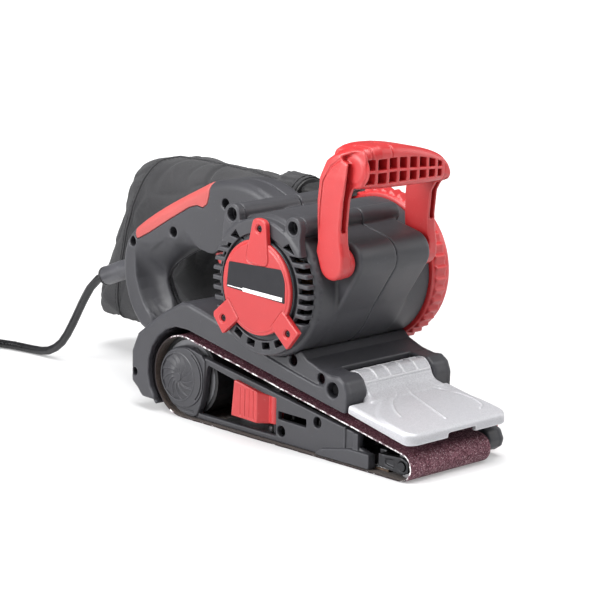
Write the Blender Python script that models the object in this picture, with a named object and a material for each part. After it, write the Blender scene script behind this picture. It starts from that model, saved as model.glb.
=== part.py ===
"""Handheld belt sander, 76 mm wide belt.

Frame: metres, +Z up, +X towards the nose, +Y towards the drive side.
The origin is the middle of the belt's sanding face, which lies on Z = 0.
All driving dimensions below are in millimetres.
"""
import math

import bmesh
import bpy
from mathutils import Matrix, Vector

MM = 0.001
GAP = 0.3  # clearance between pieces that touch

# --- belt and the two rollers it runs on -----------------------------------
BELT_W, BELT_T = 76.0, 1.0
DRUM_X, DRUM_R = -100.0, 28.8          # outside of the belt on the drum
ROLLER_X, ROLLER_R = 104.5, 9.5        # outside of the belt on the nose roller
CAP_X, CAP_Z = -104.5, 29.3            # middle of the cap over the drum's near end
# --- motor -----------------------------------------------------------------
MOTOR_X, MOTOR_Z = -9.0, 109.0
BARREL_R, BARREL_BORE = 47.0, 43.0
BARREL_Y0, BARREL_Y1 = -47.5, 58.0
CAP_R, CAP_Y0 = 45.0, -54.0
SPLIT_Y = 4.0                           # joint plane of the two housing halves
# --- rear handle -----------------------------------------------------------
GRIP_HALF_W, GRIP_ROUND = 17.0, 10.0
# --- front handle ----------------------------------------------------------
PIVOT_X, PIVOT_Z = 45.0, 131.0
LOBE_R, LOBE_Y0, LOBE_Y1 = 13.5, -30.0, 36.0
ARM_NEAR, ARM_FAR = (-44.0, -36.0), (38.0, 46.0)
# --- base and nose cover ---------------------------------------------------
BASE_Y0, BASE_Y1 = -42.0, 58.0
HINGE_X, HINGE_Z = 47.5, 49.0
# --- drive -----------------------------------------------------------------
PINION_R, PULLEY_R = 7.0, 20.0
DRIVE_Y0, DRIVE_Y1 = 61.0, 70.0
# --- tension lever ---------------------------------------------------------
LEVER_X, LEVER_Y = -16.2, -29.0
# --- trigger ---------------------------------------------------------------
TRIGGER_X, TRIGGER_Z = -99.0, 118.5
# --- dust outlet and bag ---------------------------------------------------
SPIGOT_Y, SPIGOT_Z, SPIGOT_R = 62.0, 141.0, 13.0
# --- mains cord ------------------------------------------------------------
CORD_D = 6.2
SLEEVE_END = Vector((-230.0, 4.0, 72.0))
SLEEVE_DIR = Vector((-0.928, 0.0, -0.3726)).normalized()
COIL_X, COIL_Y, COIL_R = -353.6, -66.4, 46.4   # middle of the coil and its outermost turn

for old in list(bpy.data.objects):
    bpy.data.objects.remove(old, do_unlink=True)


# ---------------------------------------------------------------------------
# helpers
# ---------------------------------------------------------------------------
def finish(name, bm):
    """A linked object from a bmesh in millimetres, faces turned out."""
    bmesh.ops.recalc_face_normals(bm, faces=bm.faces)
    bmesh.ops.scale(bm, vec=(MM, MM, MM), verts=bm.verts)
    mesh = bpy.data.meshes.new(name)
    bm.to_mesh(mesh)
    bm.free()
    ob = bpy.data.objects.new(name, mesh)
    bpy.context.scene.collection.objects.link(ob)
    return ob


def area2(poly):
    return sum(a[0] * b[1] - b[0] * a[1] for a, b in zip(poly, poly[1:] + poly[:1]))


def ccw(poly):
    poly = [tuple(p) for p in poly]
    return poly if area2(poly) > 0 else poly[::-1]


def inset(poly, d):
    """Mitred inward offset of a counter-clockwise outline."""
    if d == 0:
        return list(poly)
    out = []
    n = len(poly)
    for i in range(n):
        p, q, r = Vector(poly[i - 1]), Vector(poly[i]), Vector(poly[(i + 1) % n])
        a, b = (q - p).normalized(), (r - q).normalized()
        na, nb = Vector((-a.y, a.x)), Vector((-b.y, b.x))
        m = na + nb
        m = m / max(m.dot(na), 0.35)
        out.append(tuple(q + m * d))
    return out


def loft(name, loops, closed=False):
    """A solid skinned through loops of equal length, with flat ends, or a closed ring of loops."""
    bm = bmesh.new()
    rings = [[bm.verts.new(Vector(p)) for p in loop] for loop in loops]
    n = len(rings[0])
    pairs = list(zip(rings, rings[1:]))
    if closed:
        pairs.append((rings[-1], rings[0]))
    for a, b in pairs:
        for i in range(n):
            bm.faces.new((a[i], a[(i + 1) % n], b[(i + 1) % n], b[i]))
    if not closed:
        bm.faces.new(rings[0])
        bm.faces.new(rings[-1][::-1])
    return finish(name, bm)


def prism(name, poly, y0, y1, round0=0.0, round1=0.0, seg=3):
    """An XZ outline drawn along Y, with its rims rounded by round0 at y0 and round1 at y1."""
    poly = ccw(poly)
    loops = []
    if round0:
        for i in range(seg):
            t = math.pi / 2 * i / seg
            loops.append((inset(poly, round0 * (1 - math.sin(t))), y0 + round0 * (1 - math.cos(t))))
        loops.append((poly, y0 + round0))
    else:
        loops.append((poly, y0))
    if round1:
        loops.append((poly, y1 - round1))
        for i in range(seg - 1, -1, -1):
            t = math.pi / 2 * i / seg
            loops.append((inset(poly, round1 * (1 - math.sin(t))), y1 - round1 * (1 - math.cos(t))))
    else:
        loops.append((poly, y1))
    return loft(name, [[(x, y, z) for x, z in lp] for lp, y in loops])


def box(name, x0, x1, y0, y1, z0, z1):
    return prism(name, [(x0, z0), (x1, z0), (x1, z1), (x0, z1)], y0, y1)


def arc(cx, cz, r, a0, a1, n):
    """n + 1 points on an arc, angles in degrees."""
    return [
        (cx + r * math.cos(math.radians(a0 + (a1 - a0) * i / n)), cz + r * math.sin(math.radians(a0 + (a1 - a0) * i / n)))
        for i in range(n + 1)
    ]


def circle(cx, cz, r, n, phase=0.0):
    return [
        (cx + r * math.cos(2 * math.pi * (i + phase) / n), cz + r * math.sin(2 * math.pi * (i + phase) / n))
        for i in range(n)
    ]


def rod(name, cx, cz, r, y0, y1, n=24, round0=0.0, round1=0.0):
    return prism(name, circle(cx, cz, r, n), y0, y1, round0, round1, 2)


def turned(name, profile, n, place):
    """A profile of (radius, height) turned round +Z. It starts and ends on the axis, or closes on itself as a ring."""
    bm = bmesh.new()
    ring = all(r > 1e-6 for r, _ in profile)
    rows = []
    for r, h in profile:
        if r < 1e-6:
            rows.append([bm.verts.new((0, 0, h))])
        else:
            rows.append([bm.verts.new((r * math.cos(2 * math.pi * i / n), r * math.sin(2 * math.pi * i / n), h)) for i in range(n)])
    pairs = list(zip(rows, rows[1:]))
    if ring:
        pairs.append((rows[-1], rows[0]))
    for a, b in pairs:
        for i in range(n):
            j = (i + 1) % n
            corner = [a[i % len(a)], a[j % len(a)], b[j % len(b)], b[i % len(b)]]
            corner = [v for k, v in enumerate(corner) if v not in corner[:k]]
            if len(corner) > 2:
                bm.faces.new(corner)
    bmesh.ops.transform(bm, matrix=place, verts=bm.verts)
    return finish(name, bm)


def along_y(cx, cz):
    """+Z of a turned profile laid along +Y on the axis (cx, cz)."""
    return Matrix.Translation((cx, 0, cz)) @ Matrix.Rotation(-math.pi / 2, 4, "X")


def sleeve(name, cx, cz, r_in, r_out, y0, y1, n=24):
    return turned(name, [(r_in, y0), (r_out, y0), (r_out, y1), (r_in, y1)], n, along_y(cx, cz))


def settle(ob):
    """Replaces an object's mesh by what its modifiers make of it."""
    made = bpy.data.meshes.new_from_object(ob.evaluated_get(bpy.context.evaluated_depsgraph_get()))
    ob.modifiers.clear()
    ob.data = made
    bm = bmesh.new()
    bm.from_mesh(made)
    bmesh.ops.remove_doubles(bm, verts=bm.verts, dist=2e-6)
    bmesh.ops.dissolve_degenerate(bm, edges=bm.edges, dist=1e-6)
    bmesh.ops.dissolve_limit(bm, angle_limit=math.radians(0.4), verts=bm.verts, edges=bm.edges)
    bm.to_mesh(made)
    bm.free()


def combine(ob, tools, how):
    for tool in tools:
        mod = ob.modifiers.new(how, "BOOLEAN")
        mod.operation, mod.solver, mod.object = how, "EXACT", tool
        tool.hide_render, tool.display_type = True, "WIRE"
        settle(ob)
        bpy.data.objects.remove(tool, do_unlink=True)
    return ob


def cut(ob, *tools):
    return combine(ob, tools, "DIFFERENCE")


def join(ob, *tools):
    return combine(ob, tools, "UNION")


def smooth_path(points, step):
    """Points about step apart on a Catmull-Rom curve through the given points."""
    pts = [Vector(p) for p in points]
    pts = [pts[0] * 2 - pts[1]] + pts + [pts[-1] * 2 - pts[-2]]
    out = []
    for a, b, c, d in zip(pts, pts[1:], pts[2:], pts[3:]):
        n = max(1, round((c - b).length / step))
        for i in range(n):
            t = i / n
            out.append(
                0.5 * ((2 * b) + (c - a) * t + (2 * a - 5 * b + 4 * c - d) * t * t + (3 * b - a - 3 * c + d) * t ** 3)
            )
    out.append(pts[-2])
    return out


def tube(name, points, diameter):
    curve = bpy.data.curves.new(name, "CURVE")
    curve.dimensions = "3D"
    curve.bevel_depth = diameter / 2 * MM
    curve.bevel_resolution = 2
    curve.use_fill_caps = True
    spline = curve.splines.new("POLY")
    spline.points.add(len(points) - 1)
    for p, v in zip(spline.points, points):
        p.co = (v.x * MM, v.y * MM, v.z * MM, 1)
    ob = bpy.data.objects.new(name, curve)
    bpy.context.scene.collection.objects.link(ob)
    return ob


def hull(c1, r1, c2, r2, n1=24, n2=12):
    """Outline of two circles and their outer tangents."""
    dx, dz = c2[0] - c1[0], c2[1] - c1[1]
    base, turn = math.degrees(math.atan2(dz, dx)), math.degrees(math.acos((r1 - r2) / math.hypot(dx, dz)))
    return arc(*c2, r2, base - turn, base + turn, n2) + arc(*c1, r1, base + turn, base + 360 - turn, n1)


def belt_path(offset, n_drum=20, n_roller=12):
    """The belt loop's outline, moved in from its outside by offset."""
    d, r = (DRUM_X, DRUM_R), (ROLLER_X, ROLLER_R)
    dx, dz = r[0] - d[0], r[1] - d[1]
    base = math.degrees(math.atan2(dz, dx))
    turn = math.degrees(math.acos((DRUM_R - ROLLER_R) / math.hypot(dx, dz)))
    return arc(*r, ROLLER_R - offset, base - turn, base + turn, n_roller) + arc(*d, DRUM_R - offset, base + turn, base + 360 - turn, n_drum)


def belt_top(x):
    """Height of the belt's upper run."""
    return 57.1 - 0.1906 * (x + 94.6)


MOTOR, DRUM, ROLLER, PIVOT, HINGE = (
    (MOTOR_X, MOTOR_Z),
    (DRUM_X, DRUM_R),
    (ROLLER_X, ROLLER_R),
    (PIVOT_X, PIVOT_Z),
    (HINGE_X, HINGE_Z),
)

# ---------------------------------------------------------------------------
# belt, drum and nose roller
# ---------------------------------------------------------------------------
half = BELT_W / 2
outer, inner = belt_path(0), belt_path(BELT_T)
loft(
    "sanding_belt",
    [
        [(x, -half, z) for x, z in outer],
        [(x, half, z) for x, z in outer],
        [(x, half, z) for x, z in inner],
        [(x, -half, z) for x, z in inner],
    ],
    closed=True,
)
drum_in = DRUM_R - BELT_T - GAP
sleeve("drum_sleeve", *DRUM, drum_in - 2.6, drum_in, -30.0, 36.0, 36)
sleeve("drum_core", *DRUM, 5 + GAP, drum_in - 2.6 - GAP, -30.0, 36.0, 32)
rod("drum_shaft", *DRUM, 5.0, -34.5, 71.0, 20)
sleeve("drum_bearing_near", *DRUM, 5 + GAP, 9.0, -34.7, -31.2, 24)
sleeve("drum_bearing_far", *DRUM, 5 + GAP, 9.0, 41.2, 44.8, 24)
sleeve("driven_pulley", *DRUM, 5 + GAP, PULLEY_R, DRIVE_Y0, DRIVE_Y1, 36)
roller_in = ROLLER_R - BELT_T - GAP
sleeve("front_roller", *ROLLER, 3 + GAP, roller_in, -31.3, 38.2, 24)
rod("roller_axle", *ROLLER, 3.0, -36.6, 42.4, 16)

# fork that carries the nose roller and slides along X
yoke = box("roller_yoke", 80, 86, -30.5, 41.8, 5.6, 15.5)
join(
    yoke,
    box("stem", 60, 80.5, -10, 10, 6.2, 14),
    box("bridge", 84, 88, -36, -30, 5.6, 14.2),
    prism("near_arm", [(87, 5.6), (104, 3.6), (110, 6), (110, 13), (104, 15.2), (87, 14.2)], -36, -32),
    prism("far_arm", [(85, 5.6), (104, 3.6), (110, 6), (110, 13), (104, 15.2), (85, 15.5)], 38.8, 41.8),
)
cut(yoke, rod("axle_holes", *ROLLER, 3 + GAP, -40, 46, 16))
# compression spring behind the fork, drawn as its outer tube
turned(
    "tension_spring",
    [(3.4, 50.4), (5.0, 50.4), (5.0, 59.6), (3.4, 59.6)],
    16,
    Matrix.Translation((0, 0, 10)) @ Matrix.Rotation(math.pi / 2, 4, "Y"),
)

# ---------------------------------------------------------------------------
# frame inside the belt loop: near side plate, beam, far plate
# ---------------------------------------------------------------------------
near_plate = (
    arc(*DRUM, 26.3, 82, 262, 18)
    + [(-88, 1.6), (77, 1.6), (77, 10.5), (66, 13.5), (66, belt_top(66) - 5), (-94, belt_top(-94) - 5)]
)
frame = prism("belt_frame", near_plate, -35, -31)
cut(
    frame,
    prism(
        "finger_recess",
        [(-77.4, 42.4), (-78.7, 36.5), (-79.4, 30.0), (-80.3, 22.0), (-81.8, 15.6), (-84.0, 9.6), (-86.6, 5.2)]
        + [(-11, 5.2), (-11, 33), (-40, belt_top(-40) - 11), (-74, belt_top(-74) - 11)],
        -40,
        -28,
    ),
    prism("slot", [(-9, 18.5), (20, 15.5), (20, 21), (-9, 24.5)], -40, -28),
    rod("bearing_seat", *DRUM, 9 + GAP, -40, -28, 24),
)
far_plate = (
    arc(*DRUM, 26.3, 82, 262, 14)
    + [(-88, 4.0), (70, 4.0), (78, 8), (78, 16), (66, belt_top(66) - 5), (-94, belt_top(-94) - 5)]
)
far = prism("far_plate", far_plate, 42.2, 46.0)
cut(far, rod("far_seat", *DRUM, 9 + GAP, 30, 50, 24))
far.name = "belt_frame_far_wall"
join(
    frame,
    far,
    box("beam", -66, 49, -31.5, 42.8, 5.0, 9.4),
    box("rib", 44, 50, -31.5, 42.8, 9.0, 18.0),
    box("lug_rear", -60, -44, 45.5, 54.2, 12, 24),
    box("lug_front", 30, 46, 45.5, 54.2, 8, 18),
)
cut(frame, turned("lever_pin_hole", [(0, 3), (2 + GAP, 3), (2 + GAP, 12), (0, 12)], 16, Matrix.Translation((LEVER_X, LEVER_Y, 0))))
# covers the drum's near bearing, with swirling ribs
cap = rod("drum_cap", CAP_X, CAP_Z, 22.4, -37.4, -35.3, 36, 0.8)
for i in range(12):
    a = 2 * math.pi * i / 12
    rib = []
    for k in range(4):
        t = k / 3
        ang = a + 0.75 * t * t
        rib.append((6 + 11.5 * t, ang))
    pts = [(CAP_X + r * math.cos(b - 0.5 / r), CAP_Z + r * math.sin(b - 0.5 / r)) for r, b in rib]
    pts += [(CAP_X + r * math.cos(b + 0.5 / r), CAP_Z + r * math.sin(b + 0.5 / r)) for r, b in rib[::-1]]
    join(cap, prism("rib", pts, -38.0, -36.6))

# tension lever, opened by its rear end
lever_side = [(-50.5, 11.5), (-27, 11.0), (-27, 32.6), (-47.5, 36.5)]
lever = prism("tension_lever", lever_side, -38.5, -21, 1.0, 0, 2)
join(lever, box("arm", -28, -18.2, -32.5, -25.5, 12, 31))
join(lever, turned("eye", [(0, 12), (4.6, 12), (4.6, 31), (0, 31)], 20, Matrix.Translation((LEVER_X, LEVER_Y, 0))))
cut(lever, turned("eye_hole", [(0, 5), (2 + GAP, 5), (2 + GAP, 40), (0, 40)], 16, Matrix.Translation((LEVER_X, LEVER_Y, 0))))
turned("lever_pin", [(0, 5.6), (2.0, 5.6), (2.0, 32.5), (0, 32.5)], 16, Matrix.Translation((LEVER_X, LEVER_Y, 0)))

# sole
box("platen_pad", -66, 88, -30.5, 36, 1.3, 2.6)
box("platen", -66, 88, -30.5, 36, 2.9, 4.4)

# ---------------------------------------------------------------------------
# base: arched belt guard, deck and hinge lugs in one piece
# ---------------------------------------------------------------------------
back_top = [(-148.6, 17.8), (-148.6, 39.3), (-142.4, 52.5), (-128.9, 62.7), (-113.6, 73.2), (-98.4, 81.4), (-90.4, 82.0), (-63.4, 75.7), (-48.7, 70.8), (-25, 67.5), (5, 67.5), (13.9, 71.5), (22.4, 64.4), (34.4, 60.0)]
arch_in = [(59.6, belt_top(59.6) + 7.5), (-90, belt_top(-90) + 7.5)] + [
    (DRUM_X + r * math.cos(math.radians(a)), DRUM_R + r * math.sin(math.radians(a)))
    for a, r in ((96, 35.2), (112, 34.0), (130, 33.0), (148, 32.2), (166, 31.7), (184, 31.5), (202, 31.2), (222, 30.6))
]
lug = [(45.4, 58.1), (51.7, 58.7), (57.2, 55.2), (60.0, 48.5)]
base = prism("base_frame", back_top + lug + arch_in + [(-136.8, 8.7)], BASE_Y0, -37.5)
roof_in = [(x + (4 if x < -95 else 0), z - 4) for x, z in back_top[1:]]
roof = prism("roof", [(36.5, 59.3)] + back_top[::-1] + [(-144.6, 17.8)] + roof_in + [(36.5, 55.3)], BASE_Y0 + 1.5, BASE_Y1 - 1.5)
far_wall = (
    back_top
    + lug
    + [(59.8, 34), (72, 28), (98, 21.5), (105.5, 18), (108.5, 12), (107, 7), (102, 3.6), (92, 2.6), (-116, 3.4), (-136.8, 8.7)]
)
join(
    base,
    roof,
    prism("far_wall", far_wall, 54.5, BASE_Y1),
    prism("far_nose", [(80, 25.8), (98, 21.3), (105.3, 17.9), (108.3, 12), (106.8, 7), (101.9, 3.7), (92, 2.7), (80, 2.8)], 44, 55.5),
    prism("near_lug", [(34, 59.8)] + lug + [(59.6, 36), (34, 40.5)], BASE_Y0 + 1.0, -22),
    prism("far_lug", [(34, 59.8)] + lug + [(59.6, 36), (34, 40.5)], 42, BASE_Y1 - 1.0),
    box("handle_foot", -169, -143, -12, 20, 23, 44),
)
cut(
    base,
    rod("motor_seat", *MOTOR, BARREL_R + 0.35, -60, 70, 64),
    rod("hinge_hole", *HINGE, 3 + GAP, -39, 54, 20),
    rod("shaft_hole", *DRUM, 7.0, 50, 62, 20),
)
rod("cover_hinge_pin", *HINGE, 3.0, -38.6, 53.6, 16)

# ---------------------------------------------------------------------------
# nose cover: shallow cast lid on a hinge barrel
# ---------------------------------------------------------------------------
side = [(61.0, 36.2), (61.0, 43.2), (111.5, 33.6), (115.8, 32.2), (117.6, 28.8), (116.6, 25.6), (112.5, 25.0)]
cover = prism("nose_cover", side, -41.5, 52.0, 2.0, 2.0, 2)
cut(cover, prism("hollow", [(63.5, 30), (63.5, 40.0), (111.0, 30.9), (114.0, 29.2), (114.3, 20), (70, 20)], -38.8, 49.3))
join(
    cover,
    rod("barrel", *HINGE, 10.0, -21.6, 41.6, 28),
    prism("neck", [(49, 40.8), (50, 57.6), (62.5, 42.9), (62.5, 37.5)], -21.6, 41.6),
)
cut(
    cover,
    rod("pin_bore", *HINGE, 3 + GAP, -30, 50, 20),
    box("notch", 109, 122, -6.4, 19.7, 20, 29.6),
)

# ---------------------------------------------------------------------------
# motor housing halves with the rear handle
# ---------------------------------------------------------------------------
handle = [
    (-10, 150), (-22, 156.5), (-37, 159), (-48, 162), (-61, 164.3), (-75.6, 165), (-90, 163.7), (-103, 160.6),
    (-114, 155.0), (-135.5, 144.5), (-156, 133.5), (-175, 121.8), (-186, 113.0), (-191.8, 103), (-193.8, 90), (-192, 76),
    (-187, 62), (-180, 52), (-171, 44.3), (-149, 44.3), (-148.6, 55), (-151.5, 65.6), (-157, 74), (-160.5, 82),
    (-156.5, 90.5), (-146.6, 98), (-129, 108), (-118, 112.6), (-108, 112.2), (-97.5, 110.5), (-87, 119), (-74, 121.5),
    (-58, 117), (-44, 112), (-12, 118),
]
pad_zone = [
    (-176.5, 110.0), (-163.5, 116.7), (-142.7, 129.1), (-122.3, 140.5), (-115, 142.8), (-109, 142.0), (-104.6, 145.0),
    (-102.6, 151.0), (-101, 172), (-150, 172), (-186, 130),
]
barrel_hull = hull(MOTOR, BARREL_R - 0.5, PIVOT, LOBE_R, 40, 14)
grip_y0, grip_y1 = SPLIT_Y - GRIP_HALF_W, SPLIT_Y + GRIP_HALF_W
sleeve_place = Matrix.Translation(SLEEVE_END) @ SLEEVE_DIR.to_track_quat("Z", "Y").to_matrix().to_4x4()


def sleeve_hole(name):
    return turned(
        name,
        [(0, -64), (9.4, -64), (9.4, -55.2), (6.9, -55.2), (6.9, -20), (0, -20)],
        24,
        sleeve_place,
    )


def inner_spaces():
    """Hollows that both halves share: switch bay, trigger slot, cord clamp bay and cord passage."""
    return [
        box("switch_bay", -124, -97, -7, 13, 123, 137.5),
        box("trigger_slot", -126, -94, -5, 13, 100, 124),
        box("clamp_bay", -170, -159, -8, 16, 93, 107),
        sleeve_hole("cord_passage"),
    ]


right = prism("housing_right", handle, grip_y0, SPLIT_Y - GAP / 2, GRIP_ROUND, 0, 3)
join(
    right,
    rod("barrel", *MOTOR, BARREL_R, BARREL_Y0, SPLIT_Y - GAP / 2, 56, 3.5),
    prism("lobe", barrel_hull, LOBE_Y0, SPLIT_Y - GAP / 2),
    rod("tube_rear", -36.6, 153.0, 6.8, BARREL_Y0, SPLIT_Y - GAP / 2, 20),
    rod("tube_front", 20.0, 152.0, 6.8, BARREL_Y0, SPLIT_Y - GAP / 2, 20),
)
cut(
    right,
    rod("bore", *MOTOR, BARREL_BORE, -60, 10, 56),
    rod("pivot_hole", *PIVOT, 4 + GAP, -40, -20, 20),
    *inner_spaces(),
    prism("pad_recess", inset(ccw(pad_zone), -GAP), -20, 30),
)
left = prism("housing_left", handle, SPLIT_Y + GAP / 2, grip_y1, 0, GRIP_ROUND, 3)
join(
    left,
    rod("barrel", *MOTOR, BARREL_R, SPLIT_Y + GAP / 2, BARREL_Y1, 56, 0, 1.5),
    prism("lobe", barrel_hull, SPLIT_Y + GAP / 2, LOBE_Y1),
    rod("tube_rear", -36.6, 153.0, 6.8, SPLIT_Y + GAP / 2, 40, 20),
    rod("tube_front", 20.0, 152.0, 6.8, SPLIT_Y + GAP / 2, 40, 20),
)
cut(
    left,
    rod("bore", *MOTOR, BARREL_BORE, 0, 53.5, 56),
    rod("bearing_seat", *MOTOR, 11 + GAP, 50, 62, 28),
    rod("pivot_hole", *PIVOT, 4 + GAP, 26, 45, 20),
    rod("button_hole", -110.0, 131.0, 4 + GAP, 10, 25, 20),
    *inner_spaces(),
    prism("pad_recess", inset(ccw(pad_zone), -GAP), -20, 30),
)
pad = prism("handle_grip_pad", handle, grip_y0, grip_y1, GRIP_ROUND, GRIP_ROUND, 3)
combine(pad, [prism("zone", pad_zone, -20, 30)], "INTERSECT")
rod("handle_pivot_near", *PIVOT, 4.0, -40.5, -20.5, 18)
rod("handle_pivot_far", *PIVOT, 4.0, 26.5, 42.5, 18)

# switch, trigger and lock button
box("switch_module", -122.5, -99, -6, 12, 124.6, 136.8)
trigger = prism("trigger", [(-124, 117.5), (-122, 108), (-114, 100.6), (-105, 100.2), (-99.5, 105), (-95.5, 114), (-95.5, 121), (-102, 121.6)], -4, 12, 1.5, 1.5, 2)
rod("lock_button", -110.0, 131.0, 4.0, 16.0, 24.5, 20, 0, 1.0)
box("cord_clamp", -168, -161, -6, 14, 101.8, 105.4)

# ---------------------------------------------------------------------------
# motor end cap, name-free plate and its screws
# ---------------------------------------------------------------------------
end_cap = rod("motor_end_cap", *MOTOR, CAP_R, CAP_Y0, BARREL_Y0 - GAP, 56, 2.0)
boss_at = [(-36.6, 153.0), (20.0, 152.0)]
join(
    end_cap,
    prism("boss_web", [(-44, 140), (-36.6, 160.4), (-20, 154), (4, 154), (20, 159.4), (27, 140), (10, 130), (-28, 130)], CAP_Y0 + 2, BARREL_Y0 - GAP),
    *[rod("boss", *at, 7.6, CAP_Y0 + 1, BARREL_Y0 - GAP, 20) for at in boss_at],
)
slots = []
sides = [-22.5 + 10.5 * i for i in range(6)]
for angle, r0, r1, w in [(v, 35.5, 48, 2.15) for v in sides + [180 - v for v in sides]] + [(v, 36.2, 40.6, 3.7) for v in (240, 259, 280, 298)]:
    a = math.radians(angle)
    c, s = math.cos(a), math.sin(a)
    slots.append(
        prism(
            "vent",
            [(MOTOR_X + r * c - t * s, MOTOR_Z + r * s + t * c) for r, t in ((r0, -w), (r1, -w), (r1, w), (r0, w))],
            CAP_Y0 - 4.0,
            BARREL_Y0 + 2.0,
        )
    )
vents = slots[0]
for other in slots[1:]:
    join(vents, other)
cut(
    end_cap,
    rod("cavity", *MOTOR, 39.5, CAP_Y0 + 4, -20, 48),
    vents,
    *[rod("boss_hole", *at, 4.4, -60, CAP_Y0 + 11, 18) for at in boss_at],
)
join(end_cap, rod("bearing_boss", *MOTOR, 14.5, CAP_Y0 + 3, -41.0, 28))
cut(end_cap, rod("bearing_seat", *MOTOR, 11 + GAP, CAP_Y0 + 4.5, -30, 28))

screw_at = [(MOTOR_X + 39.4 * math.cos(math.radians(a)), MOTOR_Z + 39.4 * math.sin(math.radians(a))) for a in (220, 320, 86)]
outline, plate_r, tabs = [], 31.5, ((86, 9.4, 5.6, 46.0, 3.6), (220, 8.0, 8.0, 46.0, 0.8), (320, 8.0, 8.0, 46.0, 0.8))
for k, (a, w, w_end, end, trim) in enumerate(tabs):
    away, side_dir = (math.cos(math.radians(a)), math.sin(math.radians(a))), (-math.sin(math.radians(a)), math.cos(math.radians(a)))
    foot = math.degrees(math.asin(w / plate_r))
    start = plate_r * math.cos(math.radians(foot))
    for r, t in ((start, -w), (end - trim, -w_end), (end, -w_end + trim), (end, w_end - trim), (end - trim, w_end), (start, w)):
        outline.append((MOTOR_X + r * away[0] + t * side_dir[0], MOTOR_Z + r * away[1] + t * side_dir[1]))
    nxt = tabs[(k + 1) % 3]
    nxt_a = nxt[0] + (360 if nxt[0] < a else 0) - math.degrees(math.asin(nxt[1] / plate_r))
    outline += arc(*MOTOR, plate_r, a + foot, nxt_a, 8)[1:-1]
plate = prism("label_plate", outline, CAP_Y0 - 4.0, CAP_Y0 - GAP, 0.8, 0, 1)
cut(plate, *[rod("screw_hole", *at, 2.2, -70, -40, 14) for at in screw_at])
for i, at in enumerate(screw_at):
    cut(end_cap, rod("pilot", *at, 2.2, CAP_Y0 - 5, CAP_Y0 + 3.6, 14))
    rod("plate_screw_%d" % (i + 1), *at, 1.8, CAP_Y0 - 2.6, CAP_Y0 + 3.2, 12)

# ---------------------------------------------------------------------------
# motor
# ---------------------------------------------------------------------------
sleeve("stator", *MOTOR, 30.0, BARREL_BORE - 0.6, -12, 30, 40)
sleeve("armature_core", *MOTOR, 4 + GAP, 28.5, -10, 28, 32)
rod("armature_shaft", *MOTOR, 4.0, -48.5, 71.5, 16)
sleeve("commutator", *MOTOR, 4 + GAP, 13.5, -33, -18, 28)
sleeve("cooling_fan", *MOTOR, 4 + GAP, 38.0, 36, 48, 32)
sleeve("bearing_near", *MOTOR, 4 + GAP, 11.0, -48.5, -42.0, 24)
sleeve("bearing_far", *MOTOR, 4 + GAP, 11.0, 53.9, 57.7, 24)
sleeve("drive_pulley", *MOTOR, 4 + GAP, PINION_R, DRIVE_Y0, DRIVE_Y1, 20)
for word, sign in (("upper", 1), ("lower", -1)):
    z = sorted((MOTOR_Z + sign * 15.5, MOTOR_Z + sign * 33.0))
    holder = box("brush_holder_" + word, MOTOR_X - 6, MOTOR_X + 6, -32, -19, *z)
    cut(holder, box("passage", MOTOR_X - 4 - GAP, MOTOR_X + 4 + GAP, -29.5 - GAP, -21.5 + GAP, z[0] - 2, z[1] + 2))
    z = sorted((MOTOR_Z + sign * 13.9, MOTOR_Z + sign * 29.0))
    box("carbon_brush_" + word, MOTOR_X - 4, MOTOR_X + 4, -29.5, -21.5, *z)

# toothed drive belt and its cover
run_in = hull(DRUM, PULLEY_R + GAP, MOTOR, PINION_R + GAP, 22, 10)
run_out = hull(DRUM, PULLEY_R + GAP + 2.4, MOTOR, PINION_R + GAP + 2.4, 22, 10)
loft(
    "drive_belt",
    [
        [(x, DRIVE_Y0 + 0.6, z) for x, z in run_out],
        [(x, DRIVE_Y1 - 0.6, z) for x, z in run_out],
        [(x, DRIVE_Y1 - 0.6, z) for x, z in run_in],
        [(x, DRIVE_Y0 + 0.6, z) for x, z in run_in],
    ],
    closed=True,
)
drive_cover = prism("drive_cover", hull(MOTOR, 48.0, DRUM, 27.0, 40, 20), BASE_Y1 + GAP, 75.0, 0, 2.5, 2)
join(
    drive_cover,
    rod("round", *MOTOR, 49.5, BASE_Y1 + GAP, 77.0, 48, 0, 4.0),
    rod("toothed_rim", *MOTOR, 52.4, BASE_Y1 + 2.0, 70.0, 48),
)
cut(
    drive_cover,
    prism("hollow", hull(MOTOR, 44.5, DRUM, 24.4, 36, 18), 50, 72.2),
)

# ---------------------------------------------------------------------------
# front handle: two arms and a tapered cross grip
# ---------------------------------------------------------------------------
def at_pivot(points):
    return [(PIVOT_X + a, PIVOT_Z + b) for a, b in points]


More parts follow.
